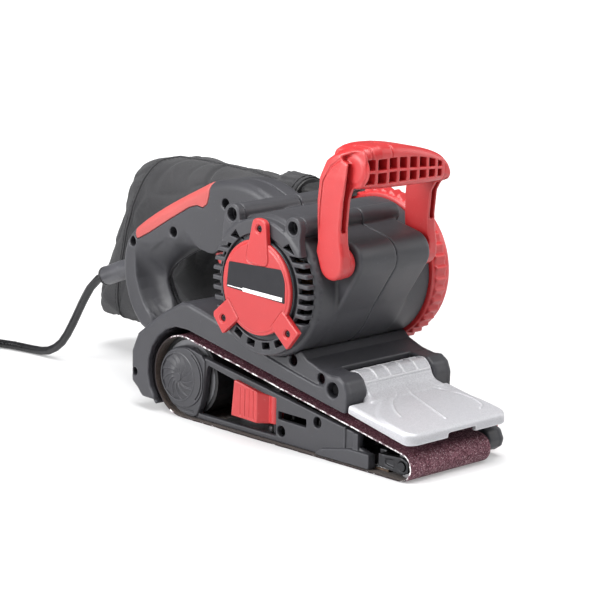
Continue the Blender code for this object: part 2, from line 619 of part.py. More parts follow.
hub = arc(0, 0, 10.5, 200, 350, 8)
arm = at_pivot(
    hub
    + [(10.3, 6), (8.4, 14), (7.8, 24), (9.4, 42), (12.5, 50), (20, 53.5), (23.5, 59), (23.5, 71), (19.5, 78), (12, 77), (1, 72)]
    + [(-6.2, 66.7), (-11.9, 55.3), (-13.5, 40), (-13.4, 30), (-12.4, 14), (-13.6, 7)]
)
arm_far = at_pivot(
    hub
    + [(10.3, 6), (8.4, 14), (7.8, 24), (9.4, 40), (13, 46), (19.5, 48.5), (22, 53), (22, 59.5), (17, 65.5), (7, 65)]
    + [(-4, 60.5), (-10.5, 52), (-13, 38), (-13, 20), (-12.4, 12), (-13.6, 7)]
)
front = prism("front_handle", arm, *ARM_NEAR, 2.4, 1.0, 2)
sections = []
for y, top, bottom, fwd, back in ((-39.2, 75.4, 50.3, 21, -5.2), (-31, 78, 50, 23, -6), (-24, 79.5, 49.5, 25, -5), (0, 76.5, 48.5, 24.5, -5), (24, 71.5, 48, 23.5, -5), (36.8, 68, 48, 22, -5), (42.6, 64.2, 48.9, 20.3, -4.4)):
    sections.append(
        [
            (PIVOT_X + a, y, PIVOT_Z + b)
            for a, b in (
                (back + 3, bottom + 4), (back + 9, bottom), (fwd - 5, bottom), (fwd, bottom + 5),
                (fwd, top - 7), (fwd - 6, top), (back + 9, top - 1), (back, top - 9),
            )
        ]
    )
join(
    front,
    loft("grip", sections),
    prism("far_arm", arm_far, *ARM_FAR, 1.0, 2.4, 2),
    rod("near_boss", *PIVOT, 10.0, ARM_NEAR[1] - 1, -31.0, 24),
    rod("far_boss", *PIVOT, 10.0, 36.6, ARM_FAR[0] + 1, 24),
)
cut(
    front,
    rod("near_socket", *PIVOT, 4 + GAP, -41.0, -28, 20),
    rod("far_socket", *PIVOT, 4 + GAP, 34, 43.0, 20),
)

# ---------------------------------------------------------------------------
# dust outlet, collar and bag
# ---------------------------------------------------------------------------
duct = prism("dust_outlet", [(-77, 128), (-77, 154), (-72, 157), (-30, 157), (-25, 154), (-30, 128)], 47, 77, 5.0, 5.0, 2)
along_x = Matrix.Translation((0, SPIGOT_Y, SPIGOT_Z)) @ Matrix.Rotation(-math.pi / 2, 4, "Y")
join(duct, turned("spigot", [(0, 70), (SPIGOT_R, 70), (SPIGOT_R, 98), (0, 98)], 28, along_x))
cut(
    duct,
    rod("motor_clear", *MOTOR, 53.2, 30, 90, 64),
    turned("passage", [(0, 66), (SPIGOT_R - 2, 66), (SPIGOT_R - 2, 104), (0, 104)], 24, along_x),
)
turned("bag_collar", [(SPIGOT_R + GAP, 79), (17.5, 79), (17.5, 97.4), (SPIGOT_R + GAP, 97.4)], 28, along_x)
bag = []
for x, cy, cz, hw, hh in (
    (-98.8, 64, 139, 16, 15), (-104, 66, 134, 25, 21.5), (-125, 71, 119, 33, 36), (-160, 74.5, 104, 37, 50.5), (-200, 76, 95, 38, 59),
    (-240, 76, 89, 38, 64), (-262, 76, 82.5, 36, 58.5), (-279, 76, 67.5, 33, 43.5), (-294, 75, 47.5, 26, 23), (-306, 74, 33.5, 15, 8),
):
    loop = []
    for i in range(20):
        t = 2 * math.pi * i / 20
        c, s = math.cos(t), math.sin(t)
        k = (abs(c) ** 2.6 + abs(s) ** 2.6) ** (-1 / 2.6)
        loop.append((x, cy + hw * k * c, cz + hh * k * s))
    bag.append(loop)
loft("dust_bag", bag)

# belt tracking knob on the drive side
knob = []
for i in range(24):
    r = 9.0 if i % 2 == 0 else 8.2
    knob.append((84 + r * math.cos(2 * math.pi * i / 24), 14 + r * math.sin(2 * math.pi * i / 24)))
prism("tracking_knob", knob, BASE_Y1 + GAP, 70.0, 0, 1.5, 2)

# ---------------------------------------------------------------------------
# mains cord: sleeve, free run, coil with its tie, tail and plug
# ---------------------------------------------------------------------------
turned(
    "strain_relief",
    [(0, -60), (9.0, -60), (9.0, -56), (6.5, -56), (6.5, -34), (6.2, -4), (7.2, -4), (7.2, 0), (0, 0)],
    24,
    sleeve_place,
)
first = SLEEVE_END + SLEEVE_DIR * GAP
coil_enter = math.radians(135)
enter = Vector((COIL_X + COIL_R * math.cos(coil_enter), COIL_Y + COIL_R * math.sin(coil_enter), 0))
heading = Vector((-math.sin(coil_enter), math.cos(coil_enter), 0))
floor_z = CORD_D / 2 + 0.05
stop = enter - heading * 27.0
run = [
    first,
    first + SLEEVE_DIR * 8,
    (-247.0, 4.0, 60.5), (-257.5, 4.0, 45.5), (-267.5, 4.0, 29.5), (-279.0, 3.6, 14.0), (-293.0, 2.6, 5.2), (-309.0, 1.2, floor_z),
    (-326.0, -1.0, floor_z), (-345.0, -7.5, floor_z), tuple(stop - heading * 8 + Vector((0, 0, floor_z))), tuple(stop + Vector((0, 0, floor_z))),
]
tube("cord_tube", smooth_path(run, 13.0), CORD_D)
turned("cord_coil", [(24.6, 1.4), (49.6, 1.4), (49.6, 20.0), (24.6, 20.0)], 40, Matrix.Translation((COIL_X, COIL_Y, 0)))
leave = math.radians(225)
out_dir = Vector((-math.sin(leave), math.cos(leave), 0))
leave_at = Vector((COIL_X + COIL_R * math.cos(leave), COIL_Y + COIL_R * math.sin(leave), 0))
tail_end = leave_at + out_dir * 66.0 + Vector((0, 0, 7.6))
tube(
    "cord_tail",
    smooth_path([tuple(leave_at + out_dir * d + Vector((0, 0, z))) for d, z in ((27, 12.6), (36, 10.6), (46, 8.6), (56, 7.7), (66 - GAP, 7.6))], 12.0),
    CORD_D,
)
# tie round one side of the coil
tie_place = Matrix.Translation((COIL_X, COIL_Y, 0)) @ Matrix.Rotation(math.radians(20), 4, "Z")
ring_out, ring_in = [(22.6, 0.1), (51.2, 0.1), (51.2, 21.3), (22.6, 21.3)], [(23.7, 1.05), (50.1, 1.05), (50.1, 20.4), (23.7, 20.4)]
loft(
    "cord_tie",
    [
        [tie_place @ Vector((r, -5, z)) for r, z in ring_out],
        [tie_place @ Vector((r, 5, z)) for r, z in ring_out],
        [tie_place @ Vector((r, 5, z)) for r, z in ring_in],
        [tie_place @ Vector((r, -5, z)) for r, z in ring_in],
    ],
    closed=True,
)
# flat two-pin plug lying beside the coil
plug_place = Matrix.Translation(tail_end) @ out_dir.to_track_quat("X", "Z").to_matrix().to_4x4()
body = [(0, -5), (14, -7.5), (24, -17.5), (40, -17.5), (40, 17.5), (24, 17.5), (14, 7.5), (0, 5)]
plug = loft("plug", [[plug_place @ Vector((x, y * k, z)) for x, y in body] for z, k in ((-7.2, 0.86), (-4.5, 1.0), (4.5, 1.0), (7.2, 0.86))])
for y in (-9.3, 9.3):
    join(plug, turned("pin", [(0, 38), (2.0, 38), (2.0, 58), (1.2, 59), (0, 59)], 14, plug_place @ Matrix.Translation((0, y, 0)) @ Matrix.Rotation(math.pi / 2, 4, "Y")))

# ---------------------------------------------------------------------------
# finishes
# ---------------------------------------------------------------------------
FINISH = {
    "dark_plastic": ((0.075, 0.075, 0.08), 0.5, 0.0),
    "black_plastic": ((0.03, 0.03, 0.033), 0.5, 0.0),
    "red_plastic": ((0.66, 0.045, 0.05), 0.4, 0.0),
    "red_soft": ((0.62, 0.06, 0.06), 0.55, 0.0),
    "silver_paint": ((0.72, 0.72, 0.74), 0.32, 0.8),
    "steel": ((0.55, 0.55, 0.57), 0.3, 1.0),
    "aluminium": ((0.62, 0.62, 0.64), 0.35, 1.0),
    "copper": ((0.62, 0.32, 0.16), 0.35, 1.0),
    "iron": ((0.22, 0.22, 0.23), 0.5, 0.9),
    "graphite": ((0.04, 0.04, 0.042), 0.6, 0.0),
    "rubber": ((0.02, 0.02, 0.021), 0.7, 0.0),
    "grit": ((0.13, 0.05, 0.075), 0.9, 0.0),
    "cork": ((0.36, 0.24, 0.14), 0.85, 0.0),
    "fabric": ((0.045, 0.045, 0.05), 0.9, 0.0),
}
WEARS = {
    "sanding_belt": "grit", "drum_sleeve": "rubber", "drum_core": "aluminium", "drum_shaft": "steel", "drum_bearing_near": "steel",
    "drum_bearing_far": "steel", "driven_pulley": "black_plastic", "front_roller": "steel", "roller_axle": "steel", "roller_yoke": "iron",
    "tension_spring": "steel", "belt_frame": "dark_plastic", "drum_cap": "dark_plastic", "tension_lever": "red_plastic", "lever_pin": "steel",
    "platen_pad": "cork", "platen": "steel", "base_frame": "dark_plastic", "cover_hinge_pin": "steel", "nose_cover": "silver_paint",
    "housing_right": "dark_plastic", "housing_left": "dark_plastic", "handle_grip_pad": "red_soft", "handle_pivot_near": "steel",
    "handle_pivot_far": "steel", "switch_module": "black_plastic", "trigger": "red_plastic", "lock_button": "red_plastic",
    "cord_clamp": "black_plastic", "motor_end_cap": "dark_plastic", "label_plate": "red_plastic", "plate_screw_1": "steel",
    "plate_screw_2": "steel", "plate_screw_3": "steel", "stator": "iron", "armature_core": "iron", "armature_shaft": "steel",
    "commutator": "copper", "cooling_fan": "black_plastic", "bearing_near": "steel", "bearing_far": "steel", "drive_pulley": "steel",
    "brush_holder_upper": "black_plastic", "brush_holder_lower": "black_plastic", "carbon_brush_upper": "graphite",
    "carbon_brush_lower": "graphite", "drive_belt": "rubber", "drive_cover": "red_plastic", "front_handle": "red_plastic",
    "dust_outlet": "black_plastic", "bag_collar": "black_plastic", "dust_bag": "fabric", "tracking_knob": "red_plastic",
    "strain_relief": "rubber", "cord_tube": "rubber", "cord_coil": "rubber", "cord_tail": "rubber", "cord_tie": "black_plastic", "plug": "rubber",
}
for name, kind in WEARS.items():
    colour, rough, metal = FINISH[kind]
    mat = bpy.data.materials.new(name + "_finish")
    mat.use_nodes = True
    shader = mat.node_tree.nodes["Principled BSDF"]
    shader.inputs["Base Color"].default_value = (*colour, 1)
    shader.inputs["Roughness"].default_value = rough
    shader.inputs["Metallic"].default_value = metal
    mat.diffuse_color = (*colour, 1)
    ob = bpy.data.objects[name]
    ob.data.materials.clear()
    ob.data.materials.append(mat)
    if ob.type == "MESH":
        ob.data.shade_smooth()
        ob.data.set_sharp_from_angle(angle=math.radians(35))


# ---------------------------------------------------------------------------
# moving groups hang from an empty on their joint's axis
# ---------------------------------------------------------------------------
def group(name, at, names, parent=None):
    empty = bpy.data.objects.new(name, None)
    bpy.context.scene.collection.objects.link(empty)
    empty.location = Vector(at) * MM
    if parent:
        empty.parent = parent
        empty.location = Vector(at) * MM - parent.location
    for n in names:
        ob = bpy.data.objects[n]
        ob.parent = empty
        ob.matrix_parent_inverse = Matrix.Translation(Vector(at) * MM).inverted()
    return empty


group("armature_axis", (MOTOR_X, 0, MOTOR_Z), ["armature_core", "armature_shaft", "commutator", "cooling_fan", "drive_pulley"])
group("drum_axis", (DRUM_X, 0, DRUM_R), ["drum_core", "drum_sleeve", "drum_shaft", "driven_pulley"])
fork = group("fork_slide", (80, 0, 10), ["roller_yoke", "roller_axle"])
group("roller_axis", (ROLLER_X, 0, ROLLER_R), ["front_roller"], fork)
group("lever_axis", (LEVER_X, LEVER_Y, 22), ["tension_lever"])
group("cover_axis", (HINGE_X, 0, HINGE_Z), ["nose_cover"])
group("handle_axis", (PIVOT_X, 0, PIVOT_Z), ["front_handle"])
group("trigger_axis", (TRIGGER_X, 4, TRIGGER_Z), ["trigger"])
group("button_axis", (-110, 20, 131), ["lock_button"])
group("knob_axis", (84, 60, 14), ["tracking_knob"])
group("bag_slide", (-98, SPIGOT_Y, SPIGOT_Z), ["dust_bag", "bag_collar"])
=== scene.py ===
"""Looks of the handheld belt sander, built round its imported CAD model.

Shapes are worked out in millimetres in the CAD's own frame: +X to the nose, +Y to the drive
side, +Z up, with the middle of the sanding face at the origin.
"""
import math

import bmesh
import bpy
import numpy as np
from mathutils import Matrix, Vector, noise
from mathutils.bvhtree import BVHTree


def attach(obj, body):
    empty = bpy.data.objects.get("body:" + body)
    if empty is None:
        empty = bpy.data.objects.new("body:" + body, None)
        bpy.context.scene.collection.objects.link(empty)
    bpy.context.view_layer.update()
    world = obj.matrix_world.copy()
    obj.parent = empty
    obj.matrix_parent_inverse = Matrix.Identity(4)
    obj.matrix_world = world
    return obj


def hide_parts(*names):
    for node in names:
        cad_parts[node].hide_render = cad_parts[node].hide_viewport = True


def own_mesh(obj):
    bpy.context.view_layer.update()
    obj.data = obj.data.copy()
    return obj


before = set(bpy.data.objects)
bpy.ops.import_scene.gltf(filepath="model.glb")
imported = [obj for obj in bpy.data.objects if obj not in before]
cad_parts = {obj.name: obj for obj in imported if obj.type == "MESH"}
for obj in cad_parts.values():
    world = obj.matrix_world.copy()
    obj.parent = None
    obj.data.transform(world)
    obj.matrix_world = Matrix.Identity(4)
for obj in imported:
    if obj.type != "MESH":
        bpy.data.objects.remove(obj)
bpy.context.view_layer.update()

MM = 0.001
scene = bpy.context.scene
scene.view_settings.view_transform = "Standard"

# ---------------------------------------------------------------------------
# camera
# ---------------------------------------------------------------------------
right, back = Vector((0.7049, 0.7093, 0.0)).normalized(), Vector((0.6924, -0.6881, 0.2168)).normalized()
up = back.cross(right)
roll = math.radians(-1.0928)
cam_x = right * math.cos(roll) - up * math.sin(roll)
cam_y = right * math.sin(roll) + up * math.cos(roll)
cam_data = bpy.data.cameras.new("camera")
cam_data.sensor_width, cam_data.lens = 36.0, 156.95
camera = bpy.data.objects.new("camera", cam_data)
scene.collection.objects.link(camera)
camera.matrix_world = Matrix(
    (
        (cam_x.x, cam_y.x, back.x, 1.1844),
        (cam_x.y, cam_y.y, back.y, -1.2025),
        (cam_x.z, cam_y.z, back.z, 0.4688),
        (0, 0, 0, 1),
    )
)
scene.camera = camera


# ---------------------------------------------------------------------------
# materials
# ---------------------------------------------------------------------------
class Finish:
    """A node material laid out in the object's own coordinates, in metres."""

    def __init__(self, name, rough=0.5, metal=0.0, **sockets):
        self.mat = bpy.data.materials.new(name)
        self.mat.use_nodes = True
        self.tree = self.mat.node_tree
        self.bsdf = self.tree.nodes["Principled BSDF"]
        self.bsdf.inputs["Roughness"].default_value = rough
        self.bsdf.inputs["Metallic"].default_value = metal
        for key, value in sockets.items():
            self.bsdf.inputs[key.replace("_", " ")].default_value = value
        self.where = self.tree.nodes.new("ShaderNodeTexCoord").outputs["Object"]

    def put(self, socket, value):
        if isinstance(value, bpy.types.NodeSocket):
            self.tree.links.new(value, socket)
        elif hasattr(value, "__len__") and len(value) == 3 and socket.type == "RGBA":
            socket.default_value = (*value, 1)
        else:
            socket.default_value = value

    def stretch(self, scale):
        node = self.tree.nodes.new("ShaderNodeMapping")
        self.put(node.inputs["Vector"], self.where)
        node.inputs["Scale"].default_value = scale
        return node.outputs["Vector"]

    def noise(self, scale, detail=3.0, rough=0.55, vector=None, distort=0.0):
        node = self.tree.nodes.new("ShaderNodeTexNoise")
        self.put(node.inputs["Vector"], vector or self.where)
        for key, value in (("Scale", scale), ("Detail", detail), ("Roughness", rough), ("Distortion", distort)):
            node.inputs[key].default_value = value
        return node.outputs["Fac"]

    def cells(self, scale, feature="F1", vector=None):
        node = self.tree.nodes.new("ShaderNodeTexVoronoi")
        node.feature = feature
        self.put(node.inputs["Vector"], vector or self.where)
        node.inputs["Scale"].default_value = scale
        return node

    def wave(self, scale, axis, distort=0.0, detail_scale=1.0):
        node = self.tree.nodes.new("ShaderNodeTexWave")
        node.wave_type, node.bands_direction = "BANDS", axis
        self.put(node.inputs["Vector"], self.where)
        node.inputs["Scale"].default_value = scale
        node.inputs["Distortion"].default_value = distort
        node.inputs["Detail Scale"].default_value = detail_scale
        return node.outputs["Fac"]

    def attribute(self, name):
        node = self.tree.nodes.new("ShaderNodeAttribute")
        node.attribute_name = name
        return node.outputs["Fac"]

    def span(self, value, a, b, c, d):
        """value from a..b mapped to c..d, held inside."""
        node = self.tree.nodes.new("ShaderNodeMapRange")
        for key, v in zip(("Value", "From Min", "From Max", "To Min", "To Max"), (value, a, b, c, d)):
            self.put(node.inputs[key], v)
        return node.outputs["Result"]

    def sum(self, a, b, how="ADD"):
        node = self.tree.nodes.new("ShaderNodeMath")
        node.operation = how
        self.put(node.inputs[0], a)
        self.put(node.inputs[1], b)
        return node.outputs[0]

    def mix(self, factor, a, b, how="MIX"):
        node = self.tree.nodes.new("ShaderNodeMix")
        node.data_type, node.blend_type = "RGBA", how
        self.put(node.inputs[0], factor)
        self.put(node.inputs[6], a)
        self.put(node.inputs[7], b)
        return node.outputs[2]

    def bump(self, height, distance, strength=1.0, under=None):
        node = self.tree.nodes.new("ShaderNodeBump")
        node.inputs["Strength"].default_value = strength
        node.inputs["Distance"].default_value = distance
        self.put(node.inputs["Height"], height)
        if under is not None:
            self.put(node.inputs["Normal"], under)
        return node.outputs["Normal"]

    def done(self, colour=None, rough=None, normal=None):
        for key, value in (("Base Color", colour), ("Roughness", rough), ("Normal", normal)):
            if value is not None:
                self.put(self.bsdf.inputs[key], value)
        return self.mat


def tint(colour, k):
    return tuple(min(1.0, c * k) for c in colour)


def moulded(name, colour, rough, grain=1.0, edge_wear_and_sheen=0.35, edge_colour=None, **sockets):
    """Moulded plastic: cloudy tone, spark-eroded grain, dusty specks, and edges painted paler, partly as rubbed wear
    and partly as a painted highlight.
    """
    f = Finish(name, **sockets)
    cloud = f.span(f.noise(14, 5), 0.32, 0.68, 0.0, 1.0)
    tone = f.mix(cloud, tint(colour, 0.88), tint(colour, 1.12))
    speck = f.span(f.noise(520, 2, 0.7), 0.66, 0.74, 0.0, 0.35)
    tone = f.mix(speck, tone, edge_colour or tint(colour, 1.7))
    # paler convex edges: partly rubbed wear, partly a painted highlight standing in for light catching the rounded
    # edges
    edge_lift = f.sum(f.span(f.attribute("edge"), 0.12, 0.75, 0.0, edge_wear_and_sheen), f.span(f.noise(110, 4, 0.7), 0.34, 0.62, 0.35, 1.0), "MULTIPLY")
    tone = f.mix(edge_lift, tone, edge_colour or tint(colour, 1.9))
    shine = f.span(f.noise(38, 4), 0.3, 0.7, rough - 0.05, rough + 0.07)
    grainy = f.sum(f.noise(2600, 2, 0.6), f.noise(900, 2), "ADD")
    return f.done(tone, shine, f.bump(grainy, 0.00007 * grain, 0.55))


def metal(name, colour, rough, brushed=(400, 20, 400), edge_wear_and_sheen=0.0, **sockets):
    """Bare metal with fine machining marks and a little tarnish."""
    f = Finish(name, metal=1.0, **sockets)
    marks = f.noise(1.0, 3, 0.6, f.stretch(brushed))
    stain = f.span(f.noise(24, 5), 0.35, 0.7, 0.0, 1.0)
    tone = f.mix(stain, tint(colour, 1.08), tint(colour, 0.78))
    shine = f.span(marks, 0.25, 0.75, rough - 0.07, rough + 0.1)
    return f.done(tone, shine, f.bump(marks, 0.00004, 0.4))


DARK = (0.0328, 0.0328, 0.0376)
M = {
    "dark_plastic": moulded("dark_plastic", DARK, 0.45, 1.0, 0.26, (0.085, 0.085, 0.096), Specular_IOR_Level=0.40),
    "black_plastic": moulded("black_plastic", (0.011, 0.011, 0.012), 0.5, 1.0, 0.3, (0.05, 0.05, 0.053)),
    "red_plastic": moulded("red_plastic", (0.392, 0.0125, 0.0145), 0.41, 0.8, 0.3, (0.50, 0.10, 0.096), Specular_IOR_Level=0.60),
    "red_soft": moulded("red_soft", (0.39, 0.060, 0.056), 0.58, 1.8, 0.3, (0.50, 0.16, 0.15)),
    "steel": metal("steel", (0.56, 0.56, 0.58), 0.32),
    "aluminium": metal("aluminium", (0.66, 0.66, 0.68), 0.38, (60, 700, 60)),
    "copper": metal("copper", (0.70, 0.36, 0.19), 0.34, (60, 700, 60)),
    "iron": metal("iron", (0.20, 0.20, 0.21), 0.5, (90, 500, 90)),
}


def silver_paint():
    f = Finish("silver_paint", metal=0.25, Coat_Weight=0.05, Coat_Roughness=0.35)
    flake = f.cells(2600).outputs["Color"]
    node = f.tree.nodes.new("ShaderNodeRGBToBW")
    f.put(node.inputs[0], flake)
    glint = f.span(node.outputs[0], 0.2, 0.8, 0.0, 1.0)
    cloud = f.span(f.noise(22, 4), 0.35, 0.65, 0.0, 0.5)
    tone = f.mix(glint, (0.330, 0.330, 0.348), (0.455, 0.455, 0.476))
    tone = f.mix(cloud, tone, (0.367, 0.367, 0.388))
    edge_lift = f.span(f.attribute("edge"), 0.2, 0.8, 0.0, 0.35)
    tone = f.mix(edge_lift, tone, (0.66, 0.66, 0.675))
    shine = f.span(f.noise(260, 3), 0.3, 0.7, 0.42, 0.54)
    cast = f.bump(f.noise(300, 3), 0.00005, 0.35)
    return f.done(tone, shine, f.bump(glint, 0.00002, 0.25, cast))


def graphite():
    f = Finish("graphite")
    tone = f.mix(f.span(f.noise(900, 3), 0.35, 0.65, 0, 1), (0.025, 0.025, 0.027), (0.06, 0.06, 0.063))
    return f.done(tone, f.span(f.noise(200), 0.3, 0.7, 0.45, 0.7), f.bump(f.noise(1800, 2), 0.00006, 0.5))


def rubber(name, colour, rough):
    f = Finish(name)
    tone = f.mix(f.span(f.noise(40, 5), 0.35, 0.68, 0, 1), tint(colour, 0.8), tint(colour, 1.35))
    dust = f.span(f.noise(160, 4, 0.7), 0.55, 0.75, 0.0, 0.3)
    tone = f.mix(dust, tone, tint(colour, 2.6))
    return f.done(tone, f.span(f.noise(90, 3), 0.3, 0.7, rough - 0.07, rough + 0.08), f.bump(f.noise(1500, 3), 0.00008, 0.5))


def grit():
    """Abrasive side of the belt: packed grains in brown-red resin, with pale specks painted in as glints off the
    crystal faces.
    """
    f = Finish("grit", rough=0.8)
    grains = f.cells(1050)
    fine = f.cells(1900)
    bw = f.tree.nodes.new("ShaderNodeRGBToBW")
    f.put(bw.inputs[0], grains.outputs["Color"])
    tone = f.mix(f.span(bw.outputs[0], 0.2, 0.85, 0, 1), (0.050, 0.010, 0.018), (0.175, 0.050, 0.075))
    cloud = f.span(f.noise(70, 4), 0.35, 0.65, 0.0, 0.5)
    tone = f.mix(cloud, tone, (0.085, 0.022, 0.036))
    fw = f.tree.nodes.new("ShaderNodeRGBToBW")
    f.put(fw.inputs[0], fine.outputs["Color"])
    # pale specks on the finer grains are painted glints, a highlight put into the colour
    painted_glint = f.span(fw.outputs[0], 0.80, 0.86, 0.0, 0.8)
    tone = f.mix(painted_glint, tone, (0.50, 0.33, 0.36))
    shine = f.span(bw.outputs[0], 0.2, 0.9, 0.9, 0.42)
    height = f.sum(grains.outputs["Distance"], fine.outputs["Distance"], "ADD")
    return f.done(tone, shine, f.bump(height, 0.00022, 0.8))


def woven(name, colour_a, colour_b, pitch, rough, depth, sheen=0.3, cloud_colour=None):
    """Plain weave of threads pitch metres apart, seen alike on every face."""
    f = Finish(name, Sheen_Weight=sheen, Sheen_Roughness=0.45)
    k = 1.0 / pitch / 6.2832 * 3.1416
    warp = f.sum(f.wave(k, "X", 2.5, 3.0), f.wave(k, "Y", 2.5, 3.0), "MULTIPLY")
    weft = f.wave(k, "Z", 2.5, 3.0)
    thread = f.sum(warp, weft, "ADD")
    tone = f.mix(f.span(thread, 0.3, 1.4, 0, 1), colour_a, colour_b)
    cloud = f.span(f.noise(26, 5, 0.65), 0.38, 0.66, 0.0, 0.6)
    tone = f.mix(cloud, tone, cloud_colour or tint(colour_a, 1.6))
    lint = f.span(f.noise(700, 2, 0.7), 0.68, 0.75, 0.0, 0.25)
    tone = f.mix(lint, tone, tint(colour_b, 2.4))
    fuzz = f.noise(1200, 3)
    height = f.sum(f.sum(thread, fuzz, "ADD"), f.noise(260, 3), "ADD")
    return f.done(tone, f.span(f.noise(60, 3), 0.3, 0.7, rough - 0.06, rough + 0.06), f.bump(height, depth, 0.6))


def cork():
    f = Finish("cork")
    grains = f.cells(420)
    bw = f.tree.nodes.new("ShaderNodeRGBToBW")
    f.put(bw.inputs[0], grains.outputs["Color"])
    tone = f.mix(bw.outputs[0], (0.060, 0.036, 0.024), (0.135, 0.090, 0.060))
    return f.done(tone, f.span(f.noise(100), 0.3, 0.7, 0.78, 0.95), f.bump(grains.outputs["Distance"], 0.0002, 0.6))


def frayed():
    f = Finish("frayed_edge", rough=0.9, Sheen_Weight=0.3)
    tone = f.mix(f.span(f.noise(230, 4, 0.75), 0.43, 0.56, 0, 1), (0.84, 0.82, 0.82), (0.12, 0.07, 0.085))
    return f.done(tone, None, f.bump(f.noise(1400, 3), 0.00015, 0.7))


def printed(name, colour, rough, **sockets):
    """Printed foil, a little scuffed."""
    f = Finish(name, **sockets)
    tone = f.mix(f.span(f.noise(60, 5), 0.3, 0.7, 0, 1), tint(colour, 0.9), tint(colour, 1.1))
    scuff = f.span(f.noise(1.0, 3, 0.7, f.stretch((900, 900, 60))), 0.66, 0.74, 0.0, 0.3)
    tone = f.mix(scuff, tone, tint(colour, 1.6))
    return f.done(tone, f.span(f.noise(90), 0.3, 0.7, rough - 0.06, rough + 0.08), f.bump(f.noise(900), 0.00003, 0.3))


M["silver_paint"] = silver_paint()
M["graphite"] = graphite()
M["rubber"] = rubber("rubber", (0.009, 0.009, 0.010), 0.42)
M["sheath"] = rubber("cord_sheath", (0.010, 0.010, 0.0115), 0.30)
M["sleeve"] = rubber("sleeve_rubber", (0.048, 0.048, 0.054), 0.34)
M["grit"] = grit()
M["cork"] = cork()
M["fabric"] = woven("bag_fabric", (0.017, 0.017, 0.019), (0.023, 0.023, 0.025), 0.0007, 0.9, 0.00010, 0.08, (0.024, 0.024, 0.026))
M["backing"] = woven("belt_backing", (0.040, 0.027, 0.022), (0.095, 0.068, 0.055), 0.0008, 0.9, 0.00015, 0.1)
M["webbing"] = woven("webbing", (0.014, 0.014, 0.015), (0.04, 0.04, 0.042), 0.0014, 0.8, 0.00025, 0.2)
M["thread"] = rubber("bag_thread", (0.030, 0.030, 0.033), 0.75)
M["frayed"] = frayed()
# near-black colour for the belt's cut edge where it runs round the drum and underneath: painted shade
M["shade_painted_edge"] = rubber("shade_painted_edge", (0.012, 0.007, 0.008), 0.9)
# near-black, almost unreflecting finish for the cover hinge pin, so its recess reads as a dark hole: painted shade
M["shadow_black"] = moulded("shadow_black", (0.0045, 0.0045, 0.005), 0.85, 0.6, 0.1, (0.01, 0.01, 0.01), Specular_IOR_Level=0.08)
M["band"] = printed("band_foil", (0.012, 0.012, 0.015), 0.46, Specular_IOR_Level=0.22)
M["strip"] = printed("strip_foil", (0.86, 0.86, 0.86), 0.45)
M["dark_screw"] = metal("dark_screw", (0.045, 0.045, 0.048), 0.45, (500, 500, 500))


# ---------------------------------------------------------------------------
# distance fields
# ---------------------------------------------------------------------------
def rmax(a, b, r=0.0):
    """Both of two fields, the meeting edge rounded by r."""
    top = np.maximum(a, b)
    if np.ndim(r) == 0 and r <= 0:
        return top
    return np.minimum(top, -r) + np.hypot(np.maximum(a + r, 0), np.maximum(b + r, 0))


def rmin(a, b, r=0.0):
    """Either of two fields, the inside corner filled by radius r."""
    return -rmax(-a, -b, r)


def less(a, b, r=0.0):
    """a with b taken away."""
    return rmax(a, -b, r)


def disc(x, z, cx, cz, r):
    return np.hypot(x - cx, z - cz) - r


def poly(x, z, pts):
    """Signed distance to a closed outline."""
    x, z = np.broadcast_arrays(x, z)
    best = np.full(x.shape, 1e12, np.float32)
    out = np.ones(x.shape, bool)
    for i in range(len(pts)):
        (ax, az), (bx, bz) = pts[i], pts[i - 1]
        ex_, ez_ = bx - ax, bz - az
        wx, wz = x - ax, z - az
        t = np.clip((wx * ex_ + wz * ez_) / (ex_ * ex_ + ez_ * ez_ + 1e-9), 0, 1)
        best = np.minimum(best, (wx - ex_ * t) ** 2 + (wz - ez_ * t) ** 2)
        over, under, side = z >= az, z < bz, ex_ * wz > ez_ * wx
        out ^= (over & under & side) | (~over & ~under & ~side)
    return np.where(out, 1, -1).astype(np.float32) * np.sqrt(best)


def line(x, z, pts):
    """Distance to an open line."""
    x, z = np.broadcast_arrays(x, z)
    best = np.full(x.shape, 1e12, np.float32)
    for (ax, az), (bx, bz) in zip(pts, pts[1:]):
        ex_, ez_ = bx - ax, bz - az
        wx, wz = x - ax, z - az
        t = np.clip((wx * ex_ + wz * ez_) / (ex_ * ex_ + ez_ * ez_ + 1e-9), 0, 1)
        best = np.minimum(best, (wx - ex_ * t) ** 2 + (wz - ez_ * t) ** 2)
    return np.sqrt(best)


def rect(x0, x1, z0, z1):
    return [(x0, z0), (x1, z0), (x1, z1), (x0, z1)]


def arc(cx, cz, r, a0, a1, n):
    return [(cx + r * math.cos(math.radians(a0 + (a1 - a0) * i / n)), cz + r * math.sin(math.radians(a0 + (a1 - a0) * i / n))) for i in range(n + 1)]


def hull(c1, r1, c2, r2, n1=60, n2=40):
    dx, dz = c2[0] - c1[0], c2[1] - c1[1]
    base, turn = math.degrees(math.atan2(dz, dx)), math.degrees(math.acos((r1 - r2) / math.hypot(dx, dz)))
    return arc(*c2, r2, base - turn, base + turn, n2) + arc(*c1, r1, base + turn, base + 360 - turn, n1)


def fillet(pts, r, n=4):
    """An outline with each corner rounded by r, or as much as its sides allow."""
    out = []
    for i, q in enumerate(pts):
        p, s = Vector(pts[i - 1]), Vector(pts[(i + 1) % len(pts)])
        q = Vector(q)
        a, b = p - q, s - q
        turn = a.angle(b)
        if turn > 3.10:
            out.append(tuple(q))
            continue
        reach = min(r / math.tan(turn / 2), 0.48 * a.length, 0.48 * b.length)
        a, b = q + a.normalized() * reach, q + b.normalized() * reach
        for k in range(n + 1):
            t = k / n
            out.append(tuple(a * (1 - t) ** 2 + q * 2 * t * (1 - t) + b * t * t))
    return out


